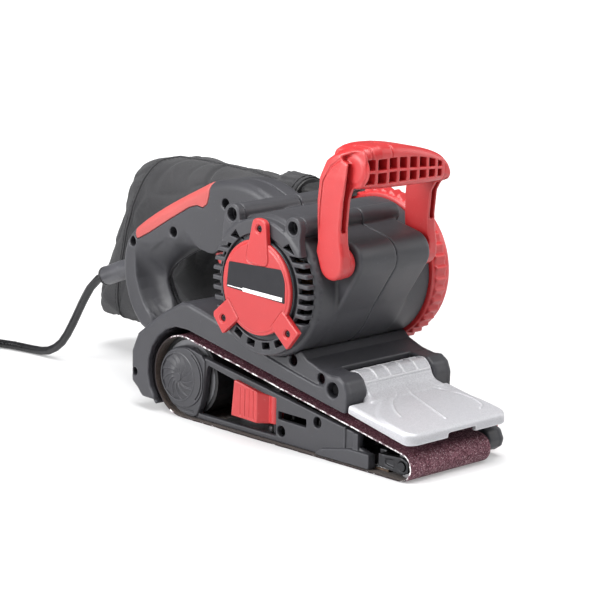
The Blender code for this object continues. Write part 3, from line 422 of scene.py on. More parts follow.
def soften(pts, rounds=2):
    """Corner-cutting subdivision of an outline."""
    for _ in range(rounds):
        new = []
        for p, q in zip(pts, pts[1:] + pts[:1]):
            new += [(0.75 * p[0] + 0.25 * q[0], 0.75 * p[1] + 0.25 * q[1]), (0.25 * p[0] + 0.75 * q[0], 0.25 * p[1] + 0.75 * q[1])]
        pts = new
    return pts


def ex(d2, y, y0, y1, r0=0.0, r1=None):
    """A flat field drawn along y, with its rims rounded."""
    return rmax(rmax(d2, y0 - y, r0), y - y1, r0 if r1 is None else r1)


def ease(v, a, b):
    t = np.clip((v - a) / (b - a), 0, 1)
    return t * t * (3 - 2 * t)


def sample(d, lo, h, p):
    q = (p - lo) / h
    i = np.clip(np.floor(q).astype(np.int32), 0, np.array(d.shape) - 2)
    f = np.clip(q - i, 0, 1).astype(np.float32)
    x, y, z = i.T
    fx, fy, fz = f.T
    a = d[x, y, z] * (1 - fx) + d[x + 1, y, z] * fx
    b = d[x, y + 1, z] * (1 - fx) + d[x + 1, y + 1, z] * fx
    c = d[x, y, z + 1] * (1 - fx) + d[x + 1, y, z + 1] * fx
    e = d[x, y + 1, z + 1] * (1 - fx) + d[x + 1, y + 1, z + 1] * fx
    return (a * (1 - fy) + b * fy) * (1 - fz) + (c * (1 - fy) + e * fy) * fz


def slope(d, lo, h, p):
    g = np.empty_like(p)
    for axis in range(3):
        step = np.zeros(3)
        step[axis] = 0.6 * h
        g[:, axis] = sample(d, lo, h, p + step) - sample(d, lo, h, p - step)
    return g / np.maximum(np.linalg.norm(g, axis=1, keepdims=True), 1e-9)


CORNERS = [(i, j, k) for i in (0, 1) for j in (0, 1) for k in (0, 1)]


def skin(d, lo, h):
    """Quads over the zero level of a sampled field, one vertex in each crossed cell."""
    s = d < 0
    n = d.shape
    count = np.zeros([v - 1 for v in n], np.uint8)
    for i, j, k in CORNERS:
        count += s[i : n[0] - 1 + i, j : n[1] - 1 + j, k : n[2] - 1 + k]
    live = (count > 0) & (count < 8)
    cell = np.argwhere(live)
    number = np.full(live.shape, -1, np.int32)
    number[live] = np.arange(len(cell))
    val = np.stack([d[cell[:, 0] + i, cell[:, 1] + j, cell[:, 2] + k] for i, j, k in CORNERS], 1)
    total, hits = np.zeros((len(cell), 3)), np.zeros(len(cell))
    for a, ca in enumerate(CORNERS):
        for axis in range(3):
            if ca[axis]:
                continue
            b = CORNERS.index(tuple(1 if m == axis else ca[m] for m in range(3)))
            cross = (val[:, a] < 0) != (val[:, b] < 0)
            va, vb = val[cross, a], val[cross, b]
            p = np.tile(np.array(ca, float), (len(va), 1))
            p[:, axis] = va / (va - vb)
            total[cross] += p
            hits[cross] += 1
    verts = lo + h * (cell + total / hits[:, None])
    quads = []
    for axis in range(3):
        b, c = (axis + 1) % 3, (axis + 2) % 3
        lower, upper = [slice(1, -1)] * 3, [slice(1, -1)] * 3
        lower[axis], upper[axis] = slice(0, -1), slice(1, None)
        inside = s[tuple(lower)]
        change = np.argwhere(inside != s[tuple(upper)])
        outward = inside[tuple(change.T)]
        at = change.copy()
        at[:, b] += 1
        at[:, c] += 1
        ring = []
        for db, dc in ((-1, -1), (0, -1), (0, 0), (-1, 0)):
            q = at.copy()
            q[:, b] += db
            q[:, c] += dc
            ring.append(number[tuple(q.T)])
        ring = np.stack(ring, 1)
        ring[~outward] = ring[~outward][:, ::-1]
        quads.append(ring)
    return verts, np.concatenate(quads)


def relax(d, lo, h, v, quads, rounds):
    """Evens the vertices out along the surface and sets them exactly on it."""
    e = np.concatenate([quads[:, [0, 1]], quads[:, [1, 2]], quads[:, [2, 3]], quads[:, [3, 0]]])
    e = np.concatenate([e, e[:, ::-1]])
    deg = np.maximum(np.bincount(e[:, 0], minlength=len(v)), 1)[:, None]
    for turn in range(rounds + 1):
        g = slope(d, lo, h, v)
        if turn:
            mean = np.stack([np.bincount(e[:, 0], v[e[:, 1], a], len(v)) for a in range(3)], 1) / deg
            move = mean - v
            v = v + 0.6 * (move - g * np.sum(move * g, 1, keepdims=True))
            g = slope(d, lo, h, v)
        v = v - g * np.clip(sample(d, lo, h, v), -h, h)[:, None]
    return v


def convexity(d, lo, h, v):
    """How sharply the surface turns outwards at each vertex."""
    step = max(1.3 * h, 0.8)
    total = -6 * sample(d, lo, h, v)
    for axis in range(3):
        for sign in (-1, 1):
            q = np.zeros(3)
            q[axis] = sign * step
            total = total + sample(d, lo, h, v + q)
    return np.clip(total / step, -1, 1.5)


def mesh_object(name, verts, faces, mat, body, replaces=(), smooth=True, edge=None):
    mesh = bpy.data.meshes.new(name)
    mesh.from_pydata(np.asarray(verts, float) * MM, [], faces)
    mesh.validate()
    if edge is not None:
        layer = mesh.attributes.new("edge", "FLOAT", "POINT")
        layer.data.foreach_set("value", np.asarray(edge, np.float32))
    ob = bpy.data.objects.new(name, mesh)
    scene.collection.objects.link(ob)
    mesh.materials.append(mat)
    if smooth:
        mesh.shade_smooth()
    dress(ob, body, replaces)
    return ob


def dress(ob, body, replaces=()):
    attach(ob, body)
    if replaces:
        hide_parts(*replaces)


def thin(ob, limit):
    """Fewer triangles on flat ground, where a skin has more than limit."""
    n = sum(len(p.vertices) - 2 for p in ob.data.polygons)
    if n <= limit:
        return
    mod = ob.modifiers.new("thin", "DECIMATE")
    mod.ratio = limit / n
    made = bpy.data.meshes.new_from_object(ob.evaluated_get(bpy.context.evaluated_depsgraph_get()))
    ob.modifiers.clear()
    old = ob.data
    made.name = ob.name
    ob.data = made
    bpy.data.meshes.remove(old)
    ob.data.shade_smooth()


def solid(name, lo, hi, h, field, mat, body="sander", replaces=(), rounds=3, limit=90000, place=None):
    """A skinned distance field."""
    lo = np.array(lo, float)
    n = np.ceil((np.array(hi) - lo) / h).astype(int) + 1
    x, y, z = [(lo[a] + h * np.arange(n[a])).astype(np.float32) for a in range(3)]
    d = np.array(np.broadcast_to(field(x[:, None, None], y[None, :, None], z[None, None, :]), tuple(n)), np.float32)
    for axis in range(3):
        for end in (0, -1):
            face = [slice(None)] * 3
            face[axis] = end
            d[tuple(face)] = np.maximum(d[tuple(face)], 0.5 * h)
    v, quads = skin(d, lo, h)
    v = relax(d, lo, h, v, quads, rounds)
    edge = convexity(d, lo, h, v)
    if place is not None:
        v = v @ np.array(place.to_3x3()).T + np.array(place.translation)
    ob = mesh_object(name, v, quads, mat, body, replaces, True, edge)
    thin(ob, limit)
    return ob


# ---------------------------------------------------------------------------
# mesh helpers
# ---------------------------------------------------------------------------
def lathe(name, profile, n, place, mat, body, replaces=(), sharp=35):
    """(radius, height) turned round +Z of place; ends on the axis or closes on itself."""
    bm = bmesh.new()
    ring = all(r > 1e-6 for r, _ in profile)
    rows = []
    for r, hgt in profile:
        if r < 1e-6:
            rows.append([bm.verts.new((0, 0, hgt))])
        else:
            rows.append([bm.verts.new((r * math.cos(2 * math.pi * i / n), r * math.sin(2 * math.pi * i / n), hgt)) for i in range(n)])
    for a, b in list(zip(rows, rows[1:])) + ([(rows[-1], rows[0])] if ring else []):
        for i in range(n):
            j = (i + 1) % n
            q = [a[i % len(a)], a[j % len(a)], b[j % len(b)], b[i % len(b)]]
            q = [v for k, v in enumerate(q) if v not in q[:k]]
            if len(q) > 2:
                bm.faces.new(q)
    bmesh.ops.recalc_face_normals(bm, faces=bm.faces)
    bmesh.ops.transform(bm, matrix=Matrix.Scale(MM, 4) @ place, verts=bm.verts)
    mesh = bpy.data.meshes.new(name)
    bm.to_mesh(mesh)
    bm.free()
    ob = bpy.data.objects.new(name, mesh)
    scene.collection.objects.link(ob)
    mesh.materials.append(mat)
    mesh.shade_smooth()
    mesh.set_sharp_from_angle(angle=math.radians(sharp))
    dress(ob, body, replaces)
    return ob


def round_profile(points, r, n=3):
    """An open lathe profile with its corners rounded by r."""
    out = [points[0]]
    for p, q, s in zip(points, points[1:], points[2:]):
        p, q, s = Vector(p), Vector(q), Vector(s)
        a, b = p - q, s - q
        reach = min(r, 0.45 * a.length, 0.45 * b.length)
        a, b = q + a.normalized() * reach, q + b.normalized() * reach
        for k in range(n + 1):
            t = k / n
            out.append(tuple(a * (1 - t) ** 2 + q * 2 * t * (1 - t) + b * t * t))
    return out + [points[-1]]


def sweep(points, radius, sides=8, closed=False):
    """Vertices and faces of a tube through points, in millimetres."""
    pts = [Vector(p) for p in points]
    n = len(pts)
    verts, faces = [], []
    normal = None
    for i, p in enumerate(pts):
        a = pts[i - 1] if (i or closed) else p
        b = pts[(i + 1) % n] if (i < n - 1 or closed) else p
        t = (b - a).normalized()
        if normal is None:
            normal = t.orthogonal().normalized()
        normal = (normal - t * normal.dot(t)).normalized()
        other = t.cross(normal)
        r = radius[i] if hasattr(radius, "__len__") else radius
        verts += [p + (normal * math.cos(2 * math.pi * k / sides) + other * math.sin(2 * math.pi * k / sides)) * r for k in range(sides)]
    for i in range(n if closed else n - 1):
        j = (i + 1) % n
        for k in range(sides):
            m = (k + 1) % sides
            faces.append((i * sides + k, i * sides + m, j * sides + m, j * sides + k))
    if not closed:
        faces.append(tuple(range(sides))[::-1])
        faces.append(tuple(range((n - 1) * sides, n * sides)))
    return verts, faces


def merged(parts):
    verts, faces = [], []
    for v, f in parts:
        k = len(verts)
        verts += [tuple(p) for p in v]
        faces += [tuple(i + k for i in q) for q in f]
    return verts, faces


def catmull(points, step):
    pts = [Vector(p) for p in points]
    pts = [pts[0] * 2 - pts[1]] + pts + [pts[-1] * 2 - pts[-2]]
    out = []
    for a, b, c, d in zip(pts, pts[1:], pts[2:], pts[3:]):
        n = max(1, round((c - b).length / step))
        for i in range(n):
            t = i / n
            out.append(0.5 * ((2 * b) + (c - a) * t + (2 * a - 5 * b + 4 * c - d) * t * t + (3 * b - a - 3 * c + d) * t ** 3))
    return out + [pts[-2]]


# ---------------------------------------------------------------------------
# mains cord: free run, coil, tail; its tie and plug
# ---------------------------------------------------------------------------
CORD_D = 6.2
SLEEVE_END, SLEEVE_DIR = Vector((-230.0, 4.0, 72.0)), Vector((-0.928, 0.0, -0.3726)).normalized()
COIL = Vector((-353.6, -66.4, 0.0))
COIL_R = 46.4
heading = Vector((-math.sin(math.radians(135)), math.cos(math.radians(135)), 0))
enter = COIL + Vector((COIL_R * math.cos(math.radians(135)), COIL_R * math.sin(math.radians(135)), 0))
stop = enter - heading * 27.0
floor_z = CORD_D / 2 + 0.05
first = SLEEVE_END + SLEEVE_DIR * 0.3
run = [
    first, first + SLEEVE_DIR * 8, (-247.0, 4.0, 60.5), (-257.5, 4.0, 45.5), (-267.5, 4.0, 29.5), (-279.0, 3.6, 14.0), (-293.0, 2.6, 5.2),
    (-309.0, 1.2, floor_z), (-328.7, -1.6, floor_z), (-343.9, -6.6, floor_z), (-355.7, -8.6, floor_z), stop + Vector((0, 0, floor_z)),
    enter - heading * 12 + Vector((0, 0, 3.9)),
]
path = catmull(run, 9.0)
# the coil goes inwards on the floor, outwards on top of that, and once more round the outside
shifts = [(380, 490, -6.2), (740, 850, -6.2), (1100, 1210, -6.2), (1460, 1570, 6.2), (1820, 1930, 6.2), (2180, 2290, 6.2)]
lifts = [(1305, 1415), (2405, 2495)]
angle = 135.0
while angle <= 2745.0:
    r, z = COIL_R, 4.5
    for a, b, by in shifts:
        r += by * float(ease(angle, a, b))
    for a, b in lifts:
        z += 6.2 * float(ease(angle, a, b))
    path.append(COIL + Vector((r * math.cos(math.radians(angle)), r * math.sin(math.radians(angle)), z)))
    angle += 9.0
out_dir = Vector((-math.sin(math.radians(225)), math.cos(math.radians(225)), 0))
leave_at = COIL + Vector((COIL_R * math.cos(math.radians(225)), COIL_R * math.sin(math.radians(225)), 0))
tail_end = leave_at + out_dir * 66.0 + Vector((0, 0, 7.6))
path += catmull([leave_at + out_dir * d + Vector((0, 0, z)) for d, z in ((9, 16.8), (18, 15.9), (27, 13.9), (36, 11.3), (46, 8.9), (56, 7.8), (65.7, 7.6))], 7.0)

curve = bpy.data.curves.new("mains_cord", "CURVE")
curve.dimensions, curve.bevel_depth, curve.bevel_resolution, curve.use_fill_caps = "3D", CORD_D / 2 * MM, 5, True
spline = curve.splines.new("POLY")
spline.points.add(len(path) - 1)
for p, v in zip(spline.points, path):
    p.co = (v.x * MM, v.y * MM, v.z * MM, 1)
spline.use_smooth = True
cord = bpy.data.objects.new("mains_cord", curve)
scene.collection.objects.link(cord)
curve.materials.append(M["sheath"])
dress(cord, "sander", ("cord_tube", "cord_coil", "cord_tail"))

# plug with finger grips and two round pins
plug_place = Matrix.Translation(tail_end) @ out_dir.to_track_quat("X", "Z").to_matrix().to_4x4()
plug_outline = fillet([(0.4, -4.6), (13, -7.2), (24, -17.0), (39.6, -17.0), (39.6, 17.0), (24, 17.0), (13, 7.2), (0.4, 4.6)], 4.0)


def plug_field(x, y, z):
    d = rmax(poly(x, y, plug_outline), np.abs(z) - 6.9, 3.2)
    neck = rmax(np.hypot(y, z) - 5.2 + 0.05 * np.maximum(x, 0), np.abs(x - 8) - 7.5, 0.8)
    ribs = np.minimum.reduce([np.abs(x - c) - 0.55 for c in (3.2, 6.0, 8.8)])
    neck = less(neck, np.maximum(ribs, 4.1 - np.hypot(y, z)), 0.2)
    d = rmin(less(d, np.maximum(x - 11, -40 - x), 0.5), neck, 1.5)
    for c in (20, 24, 28, 32):
        groove = np.maximum(np.abs(x - c) - 0.7, 6.0 - np.abs(z))
        groove = np.maximum(groove, np.abs(y) - 9)
        d = less(d, groove, 0.3)
    face = np.maximum(np.abs(x - 40.2) - 1.0, np.maximum(np.abs(y) - 13.5, np.abs(z) - 4.6))
    return less(d, face, 0.3)


plug = solid("mains_plug", (-1, -19, -8.4), (41.5, 19, 8.4), 0.5, plug_field, M["rubber"], "sander", ("plug",), 2, 26000, plug_place)
for y in (-9.3, 9.3):
    place = plug_place @ Matrix.Translation((0, y, 0)) @ Matrix.Rotation(math.pi / 2, 4, "Y")
    lathe("plug_pin_%s" % ("a" if y < 0 else "b"), [(0, 36), (2.0, 36), (2.0, 57.4), (1.7, 58.4), (1.0, 58.9), (0, 59)], 24, place, M["steel"], "sander", ())

# strap round the coil
tie_place = Matrix.Translation(COIL) @ Matrix.Rotation(math.radians(20), 4, "Z")
tie_out = fillet(rect(22.7, 51.1, 0.15, 21.2), 4.0, 5)
tie_in = [(36.9 + (r - 36.9) * 0.945, 10.7 + (z - 10.7) * 0.925) for r, z in tie_out]
verts, faces = [], []
for y in (-4.9, 4.9):
    verts += [tie_place @ Vector((r, y, z)) for r, z in tie_out] + [tie_place @ Vector((r, y, z)) for r, z in tie_in]
k = len(tie_out)
for i in range(k):
    j = (i + 1) % k
    faces += [(i, j, 2 * k + j, 2 * k + i), (k + i, 3 * k + i, 3 * k + j, k + j), (i, k + i, k + j, j), (2 * k + i, 2 * k + j, 3 * k + j, 3 * k + i)]
tie = mesh_object("cord_strap", verts, faces, M["webbing"], "sander", ("cord_tie",))
tie.data.set_sharp_from_angle(angle=math.radians(40))

# strain relief
sleeve_place = Matrix.Translation(SLEEVE_END) @ SLEEVE_DIR.to_track_quat("Z", "Y").to_matrix().to_4x4()
profile = [(0, -60), (7.6, -60), (7.6, -56.2), (6.7, -56), (6.6, -27.5), (7.15, -21.5), (6.95, -2.3), (0, -2.3)]
lathe("cord_sleeve", round_profile(profile, 0.4, 3), 56, sleeve_place, M["sleeve"], "sander", ("strain_relief",))
profile = [(0, -2.25), (7.2, -2.25), (7.2, -0.6), (6.4, 0), (0, 0)]
lathe("cord_sleeve_lip", round_profile(profile, 0.3, 3), 56, sleeve_place, M["rubber"], "sander", ())

# ---------------------------------------------------------------------------
# motor end cap, plate, foil and screws
# ---------------------------------------------------------------------------
MX, MZ = -9.0, 109.0
BOSSES = [(-36.6, 153.0), (20.0, 152.0)]
NECKS = [
    fillet([(-43.9, 153), (-44.9, 144), (-46.0, 134.5), (-26, 128), (-28.6, 144), (-29.4, 153)], 2.5),
    fillet([(27.2, 152), (26.2, 144.5), (27.6, 134.5), (8, 128), (12.0, 143), (12.8, 152)], 2.5),
]
LOUVRES = [23.0 - 6.6 * i for i in range(7)]
SCREWS = [(MX + 39.4 * math.cos(math.radians(a)), MZ + 39.4 * math.sin(math.radians(a))) for a in (220, 320, 86)]


def louvre(x, z, r0, half):
    """Level slots on both flanks of the motor, outside radius r0."""
    level = np.minimum.reduce([np.abs(z - MZ - o) - half for o in LOUVRES])
    return np.maximum(level, np.maximum(r0 - np.hypot(x - MX, z - MZ), 24.0 - np.abs(x - MX)))


def spoke(x, z, angle, r0, r1, w):
    c, s = math.cos(math.radians(angle)), math.sin(math.radians(angle))
    u, t = (x - MX) * c + (z - MZ) * s, (z - MZ) * c - (x - MX) * s
    return np.maximum(np.abs(t) - w, np.maximum(r0 - u, u - r1))


def end_cap(x, y, z):
    r = np.hypot(x - MX, z - MZ)
    d = ex(r - 45, y, -54, -47.8, 1.8, 0.3)
    for at, neck in zip(BOSSES, NECKS):
        lobe = rmin(disc(x, z, *at, 7.1), poly(x, z, neck), 0.8)
        d = rmin(d, ex(lobe, y, -53.2, -47.8, 0.8, 0.3), 1.2)
    ring = np.maximum(32.0 - r, r - 35.2)
    d = less(d, np.maximum(ring, y + 51.0), 0.4)
    d = less(d, louvre(x, z, 36.4, 1.8), 0.6)
    windows = np.minimum.reduce([spoke(x, z, a, 36.4, 40.8, 3.5) for a in (240, 259, 280, 298)])
    d = less(d, windows, 0.5)
    tri = np.minimum(
        poly(x, z, [(17.2 - 5.5, 138.6 - 0.4), (17.2 + 0.2, 138.6 + 3.0), (17.2 + 5.5, 138.6 - 3.4)]),
        poly(x, z, [(-32 - 4.8, 140.5 - 1.6), (-32, 140.5 + 3.4), (-32 + 5.2, 140.5 - 3.4)]),
    )
    d = less(d, np.maximum(tri, y + 48.6), 0.4)
    for at in BOSSES:
        rr = disc(x, z, *at, 0)
        d = less(d, rr - 4.4, 0.4)
        d = less(d, np.maximum(np.abs(rr - 5.9) - 0.2, y + 52.9), 0.1)
    for at in SCREWS:
        d = less(d, np.maximum(disc(x, z, *at, 2.2), y + 50.4), 0.2)
    d = less(d, np.maximum(r - 39.5, -50.0 - y), 0.4)
    d = rmin(d, ex(r - 14.5, y, -51, -41, 0.3, 0.5), 0.8)
    return less(d, np.maximum(r - 11.3, -49.5 - y), 0.2)


solid("motor_cap", (-56, -55, 62), (37, -40, 162.5), 0.5, end_cap, M["dark_plastic"], "sander", ("motor_end_cap",), 3, 120000)


def radial(a, pts):
    c, s = math.cos(math.radians(a)), math.sin(math.radians(a))
    return [(MX + r * c - t * s, MZ + r * s + t * c) for r, t in pts]


TOP_TAB = fillet(radial(86, [(15.6, -10.8), (46, -5.8), (46, 5.8), (15.6, 10.8)]), 5.2, 6)
LOW_TABS = [fillet(radial(a, [(26.5, -8), (46, -8), (46, 8), (26.5, 8)]), 0.9) for a in (220, 320)]


def face_plate(x, y, z):
    r = np.hypot(x - MX, z - MZ)
    d = ex(r - 31.5, y, -57.0, -54.3, 0.9, 0.2)
    d = rmin(d, ex(r - 29.3, y, -57.6, -55, 0.6), 0.3)
    tabs = np.minimum.reduce([poly(x, z, t) for t in [TOP_TAB] + LOW_TABS])
    crease = np.maximum(np.maximum(np.abs(tabs - 0.25) - 0.3, r - 30.8), y + 57.0)
    d = less(d, crease, 0.1)
    d = rmin(d, ex(poly(x, z, TOP_TAB), y, -58.1, -54.3, 0.7, 0.2), 0.0)
    for tab in LOW_TABS:
        d = rmin(d, ex(poly(x, z, tab), y, -58.1, -54.3, 0.6, 0.2), 0.0)
    for at in SCREWS:
        rr = disc(x, z, *at, 0)
        d = less(d, rr - 2.35, 0.25)
        d = less(d, np.maximum(rr - 3.1, y + 57.5), 0.2)
    return d


solid("face_plate", (-48, -59, 72), (31, -53.8, 157), 0.42, face_plate, M["red_plastic"], "sander", ("label_plate",), 3, 80000)

BAND = fillet([(-34.0, 122.9), (18.2, 124.9), (18.6, 102.9), (-36.0, 105.6)], 1.2)


def band(x, y, z):
    inside = rmax(poly(x, z, BAND), np.hypot(x - MX, z - MZ) - 28.4, 0.6)
    return ex(inside, y, -57.86, -57.2, 0.1)


solid("plain_band", (-39, -58.3, 101), (21, -56.8, 127), 0.22, band, M["band"], "sander", (), 2, 16000)


def strip(x, y, z):
    a = poly(x, z, [(-20.5, 107.3), (16.2, 106.6), (16.2, 103.9), (-20.5, 104.8)])
    b = poly(x, z, [(-35.0, 106.9), (-20, 106.5), (-20, 105.9), (-35.0, 106.3)])
    both = rmax(np.minimum(a, b), np.hypot(x - MX, z - MZ) - 28.2, 0.2)
    return ex(both, y, -58.02, -57.5, 0.08)


solid("plain_strip", (-38, -58.4, 102.5), (18, -57.1, 108.5), 0.18, strip, M["strip"], "sander", (), 2, 12000)


def screw_head(x, y, z):
    r = np.hypot(x, z)
    d = ex(r - 2.05, y, -2.6, -0.6, 0.35, 0.1)
    d = rmin(d, ex(r - 1.4, y, -0.8, 3.2, 0.1, 0.6), 0.1)
    bar = np.minimum(np.maximum(np.abs(x) - 0.28, np.abs(z) - 1.25), np.maximum(np.abs(z) - 0.28, np.abs(x) - 1.25))
    return less(d, np.maximum(bar, y + 1.7), 0.05)


for i, at in enumerate(SCREWS):
    solid("cap_screw_%d" % (i + 1), (-2.5, -3.0, -2.5), (2.5, 3.6, 2.5), 0.14, screw_head, M["dark_screw"], "sander", ("plate_screw_%d" % (i + 1),), 2, 4000, Matrix.Translation((at[0], -54.0, at[1])))

# ---------------------------------------------------------------------------
# motor housing halves, rear handle and its inlay
# ---------------------------------------------------------------------------
PIVOT = (45.0, 131.0)
HANDLE = soften(
    [
        (-8, 146), (-22, 150), (-37, 153.6), (-49, 159.6), (-61, 163.6), (-75.6, 165), (-90, 163.7), (-103, 160.6),
        (-114, 155.0), (-135.5, 144.5), (-156, 133.5), (-175, 121.8), (-186, 113.0), (-191.8, 103), (-193.8, 90), (-192, 76),
        (-187, 62), (-180, 52), (-171, 44.3), (-149, 44.3), (-148.6, 55), (-151.5, 65.6), (-157, 74), (-160.5, 82),
        (-156.5, 90.5), (-146.6, 98), (-129, 108), (-118, 112.6), (-108, 112.2), (-97.5, 110.5), (-87, 119), (-74, 121.5),
        (-58, 117), (-44, 112), (-12, 118),
    ],
    2,
)
PAD = fillet(
    [
        (-176.5, 110.0), (-163.5, 116.7), (-142.7, 129.1), (-122.3, 140.5), (-115, 142.8), (-109, 142.0), (-104.6, 145.0),
        (-102.6, 151.0), (-101, 172), (-150, 172), (-186, 130),
    ],
    1.6,
)
BARREL_HULL = hull((MX, MZ), 46.5, PIVOT, 13.5, 80, 30)
NEAR_HOLES = [(-181.4, 107.7), (-138.4, 120.7), (-86.0, 148.0)]


GRIP_INNER = [(-149, 44.3), (-148.6, 55), (-151.5, 65.6), (-157, 74), (-160.5, 82), (-156.5, 90.5), (-146.6, 98), (-129, 108), (-118, 112.6), (-108, 112.2), (-97.5, 111), (-87, 119), (-74, 121.5)]
GRIP_OUTER = [(-37, 153.6), (-49, 159.6), (-61, 163.6), (-75.6, 165), (-90, 163.7), (-103, 160.6), (-114, 155), (-135.5, 144.5), (-156, 133.5), (-175, 121.8), (-186, 113), (-191.8, 103), (-193.8, 90), (-192, 76), (-187, 62), (-180, 52), (-171, 44.3)]
# scooped inner side of the post, in from a narrow band along its outer edge
SCOOP = fillet([(-178.8, 150), (-178.7, 98), (-178.2, 90.2), (-176.8, 81.8), (-173.8, 73.6), (-169.4, 65.7), (-165.6, 60.9), (-159.0, 56.2), (-148.0, 51.0), (-110, 49.0), (-110, 150)], 3.0)


def handle_body(x, y, z):
    d2 = poly(x, z, HANDLE)
    inner = ease(line(x, z, GRIP_OUTER) - line(x, z, GRIP_INNER), -4, 10)
    inner = inner * (1 - 0.75 * np.exp(-((x + 138.4) ** 2 + (z - 120.7) ** 2) / 90.0))
    full = ease(-107.0 - x, 0, 30)
    depth = np.maximum(-poly(x, z, SCOOP), 0)
    low = ease(110 - z, 0, 28)
    scooped = low * ease(depth, 0, 9)
    half = 17 - 15.0 * low * (1 - np.exp(-depth / 5.6))
    edge = 6.6 + inner * (9.8 * full - 5.5 * (1 - full))
    edge = edge + (2.0 - edge) * scooped
    return rmax(d2 / (1.0 + 0.55 * inner * full * (1 - scooped)), np.abs(y - 4) - half, edge)


def box3(x, y, z, x0, x1, y0, y1, z0, z1):
    return np.maximum(np.maximum(np.maximum(x0 - x, x - x1), np.maximum(y0 - y, y - y1)), np.maximum(z0 - z, z - z1))


def sleeve_bore(x, y, z):
    px, py, pz = x - SLEEVE_END.x, y - SLEEVE_END.y, z - SLEEVE_END.z
    along = px * SLEEVE_DIR.x + pz * SLEEVE_DIR.z
    away = np.sqrt(np.maximum(px * px + py * py + pz * pz - along * along, 0))
    return np.minimum(np.maximum(away - 7.9, np.maximum(-61.5 - along, along + 55.2)), np.maximum(away - 6.95, np.maximum(-61.5 - along, along + 20)))


def housing(x, y, z):
    r = np.hypot(x - MX, z - MZ)
    d = rmax(rmax(r - 47, -47.5 - y, 4.5), y - 58, 1.2)
    d = rmin(d, handle_body(x, y, z), 5.0)
    d = rmin(d, ex(poly(x, z, BARREL_HULL), y, -30, 36, 2.5), 2.0)
    for at in BOSSES:
        d = rmin(d, ex(disc(x, z, *at, 6.8), y, -47.5, 40, 0.6, 1.5), 1.4)
    d = less(d, np.maximum(r - 43, y - 53.5), 0.4)
    d = less(d, np.maximum(r - 11.3, 50 - y), 0.3)
    for at in BOSSES:
        d = less(d, np.maximum(disc(x, z, *at, 4.4), y + 30), 0.3)
    d = less(d, np.maximum(louvre(x, z, 46.4, 1.0), y + 43.2), 0.4)
    d = less(d, np.maximum(disc(x, z, *PIVOT, 4.3), np.maximum(-20 - y, y - 26) * -1.0), 0.2)
    for at in NEAR_HOLES:
        d = less(d, np.maximum(disc(x, z, *at, 3.6), y + 3.5), 0.5)
    d = less(d, np.maximum(disc(x, z, -110, 131, 4.3), 10 - y), 0.3)
    d = less(d, poly(x, z, PAD) - 0.25, 0.6)
    d = less(d, box3(x, y, z, -124, -97, -7, 13, 123, 137.5))
    d = less(d, box3(x, y, z, -113, -94, -5, 13, 100, 124), 0.6)
    d = less(d, box3(x, y, z, -169, -160.5, -2.4, 10.4, 101, 106.2))
    return less(d, sleeve_bore(x, y, z), 0.4)


solid(
    "housing_near", (-196, -49, 42), (61, 5.0, 168), 0.85, lambda x, y, z: rmax(housing(x, y, z), y - 3.72, 0.4), M["dark_plastic"],
    "sander", ("housing_right",), 3, 130000,
)
solid(
    "housing_far", (-196, 3.0, 42), (61, 59.5, 168), 0.95, lambda x, y, z: rmax(housing(x, y, z), 4.28 - y, 0.4), M["dark_plastic"],
    "sander", ("housing_left",), 3, 110000,
)
solid(
    "grip_inlay", (-188, -14.2, 106), (-99, 22.2, 166.5), 0.7, lambda x, y, z: rmax(handle_body(x, y, z), poly(x, z, PAD), 0.7), M["red_soft"],
    "sander", ("handle_grip_pad",), 3, 50000,
)


def trigger(x, y, z):
    side = poly(x, z, fillet([(-109.5, 119), (-107.6, 112.4), (-104.4, 106.0), (-101.4, 101.6), (-98.6, 102.6), (-96.4, 109), (-96, 120.8), (-103, 121.2)], 2.2))
    d = ex(side, y, -3.7, 11.7, 2.0)
    waves = np.minimum.reduce([np.hypot(x - c, z - zz) - 0.8 for c, zz in ((-108.4, 112.6), (-106.6, 108.6), (-104.4, 104.7))])
    return less(d, np.maximum(waves, np.abs(y - 4) - 5.6), 0.4)


solid("trigger_key", (-126, -5, 98.5), (-94, 13, 123), 0.45, trigger, M["red_plastic"], "switch_trigger", ("trigger",), 3, 24000)


def lock(x, y, z):
    r = np.hypot(x + 110, z - 131)
    d = ex(r - 3.9, y, 16.1, 24.4, 0.2, 0.9)
    return less(d, np.hypot(r, y - 29.5) - 5.9, 0.3)


solid("lock_key", (-115, 15.4, 126), (-105, 25.2, 136), 0.25, lock, M["red_plastic"], "trigger_lock", ("lock_button",), 2, 10000)

# ---------------------------------------------------------------------------
# front handle
# ---------------------------------------------------------------------------
HUB = arc(0, 0, 10.4, 200, 350, 10)
ARM = fillet(
    HUB
    + [(10.3, 6), (8.4, 14), (7.8, 24), (9.4, 42), (12.5, 50), (20, 53.5), (23.4, 59), (23.4, 71), (19.5, 78), (12, 77), (1, 72)]
    + [(-6.2, 66.7), (-11.9, 55.3), (-13.5, 40), (-13.4, 30), (-12.4, 14), (-13.6, 7)],
    4.0,
)
ARM_FAR = fillet(
    HUB
    + [(10.3, 6), (8.4, 14), (7.8, 24), (9.4, 40), (13, 46), (19.5, 48.5), (22, 53), (22, 59.5), (17, 65.5), (7, 65)]
    + [(-4, 60.5), (-10.5, 52), (-13, 38), (-13, 20), (-12.4, 12), (-13.6, 7)],
    4.0,
)
# the handle seen along the machine: both upper corners well rounded
SPAN = soften([(-60, -60), (-60, 36), (-44.9, 56), (-44.3, 67), (-41.5, 73.5), (-33, 77.3), (-20, 78.3), (0, 76.4), (24, 71.3), (36, 66.5), (42.6, 58.5), (46.8, 46), (60, 26), (60, -60)], 2)
COLUMNS = [(-32.4, 3.6), (-23.1, 3.6), (-13.7, 3.5), (-4.2, 3.4), (5.5, 3.4), (14.9, 3.4), (24.1, 3.2), (32.4, 2.2)]


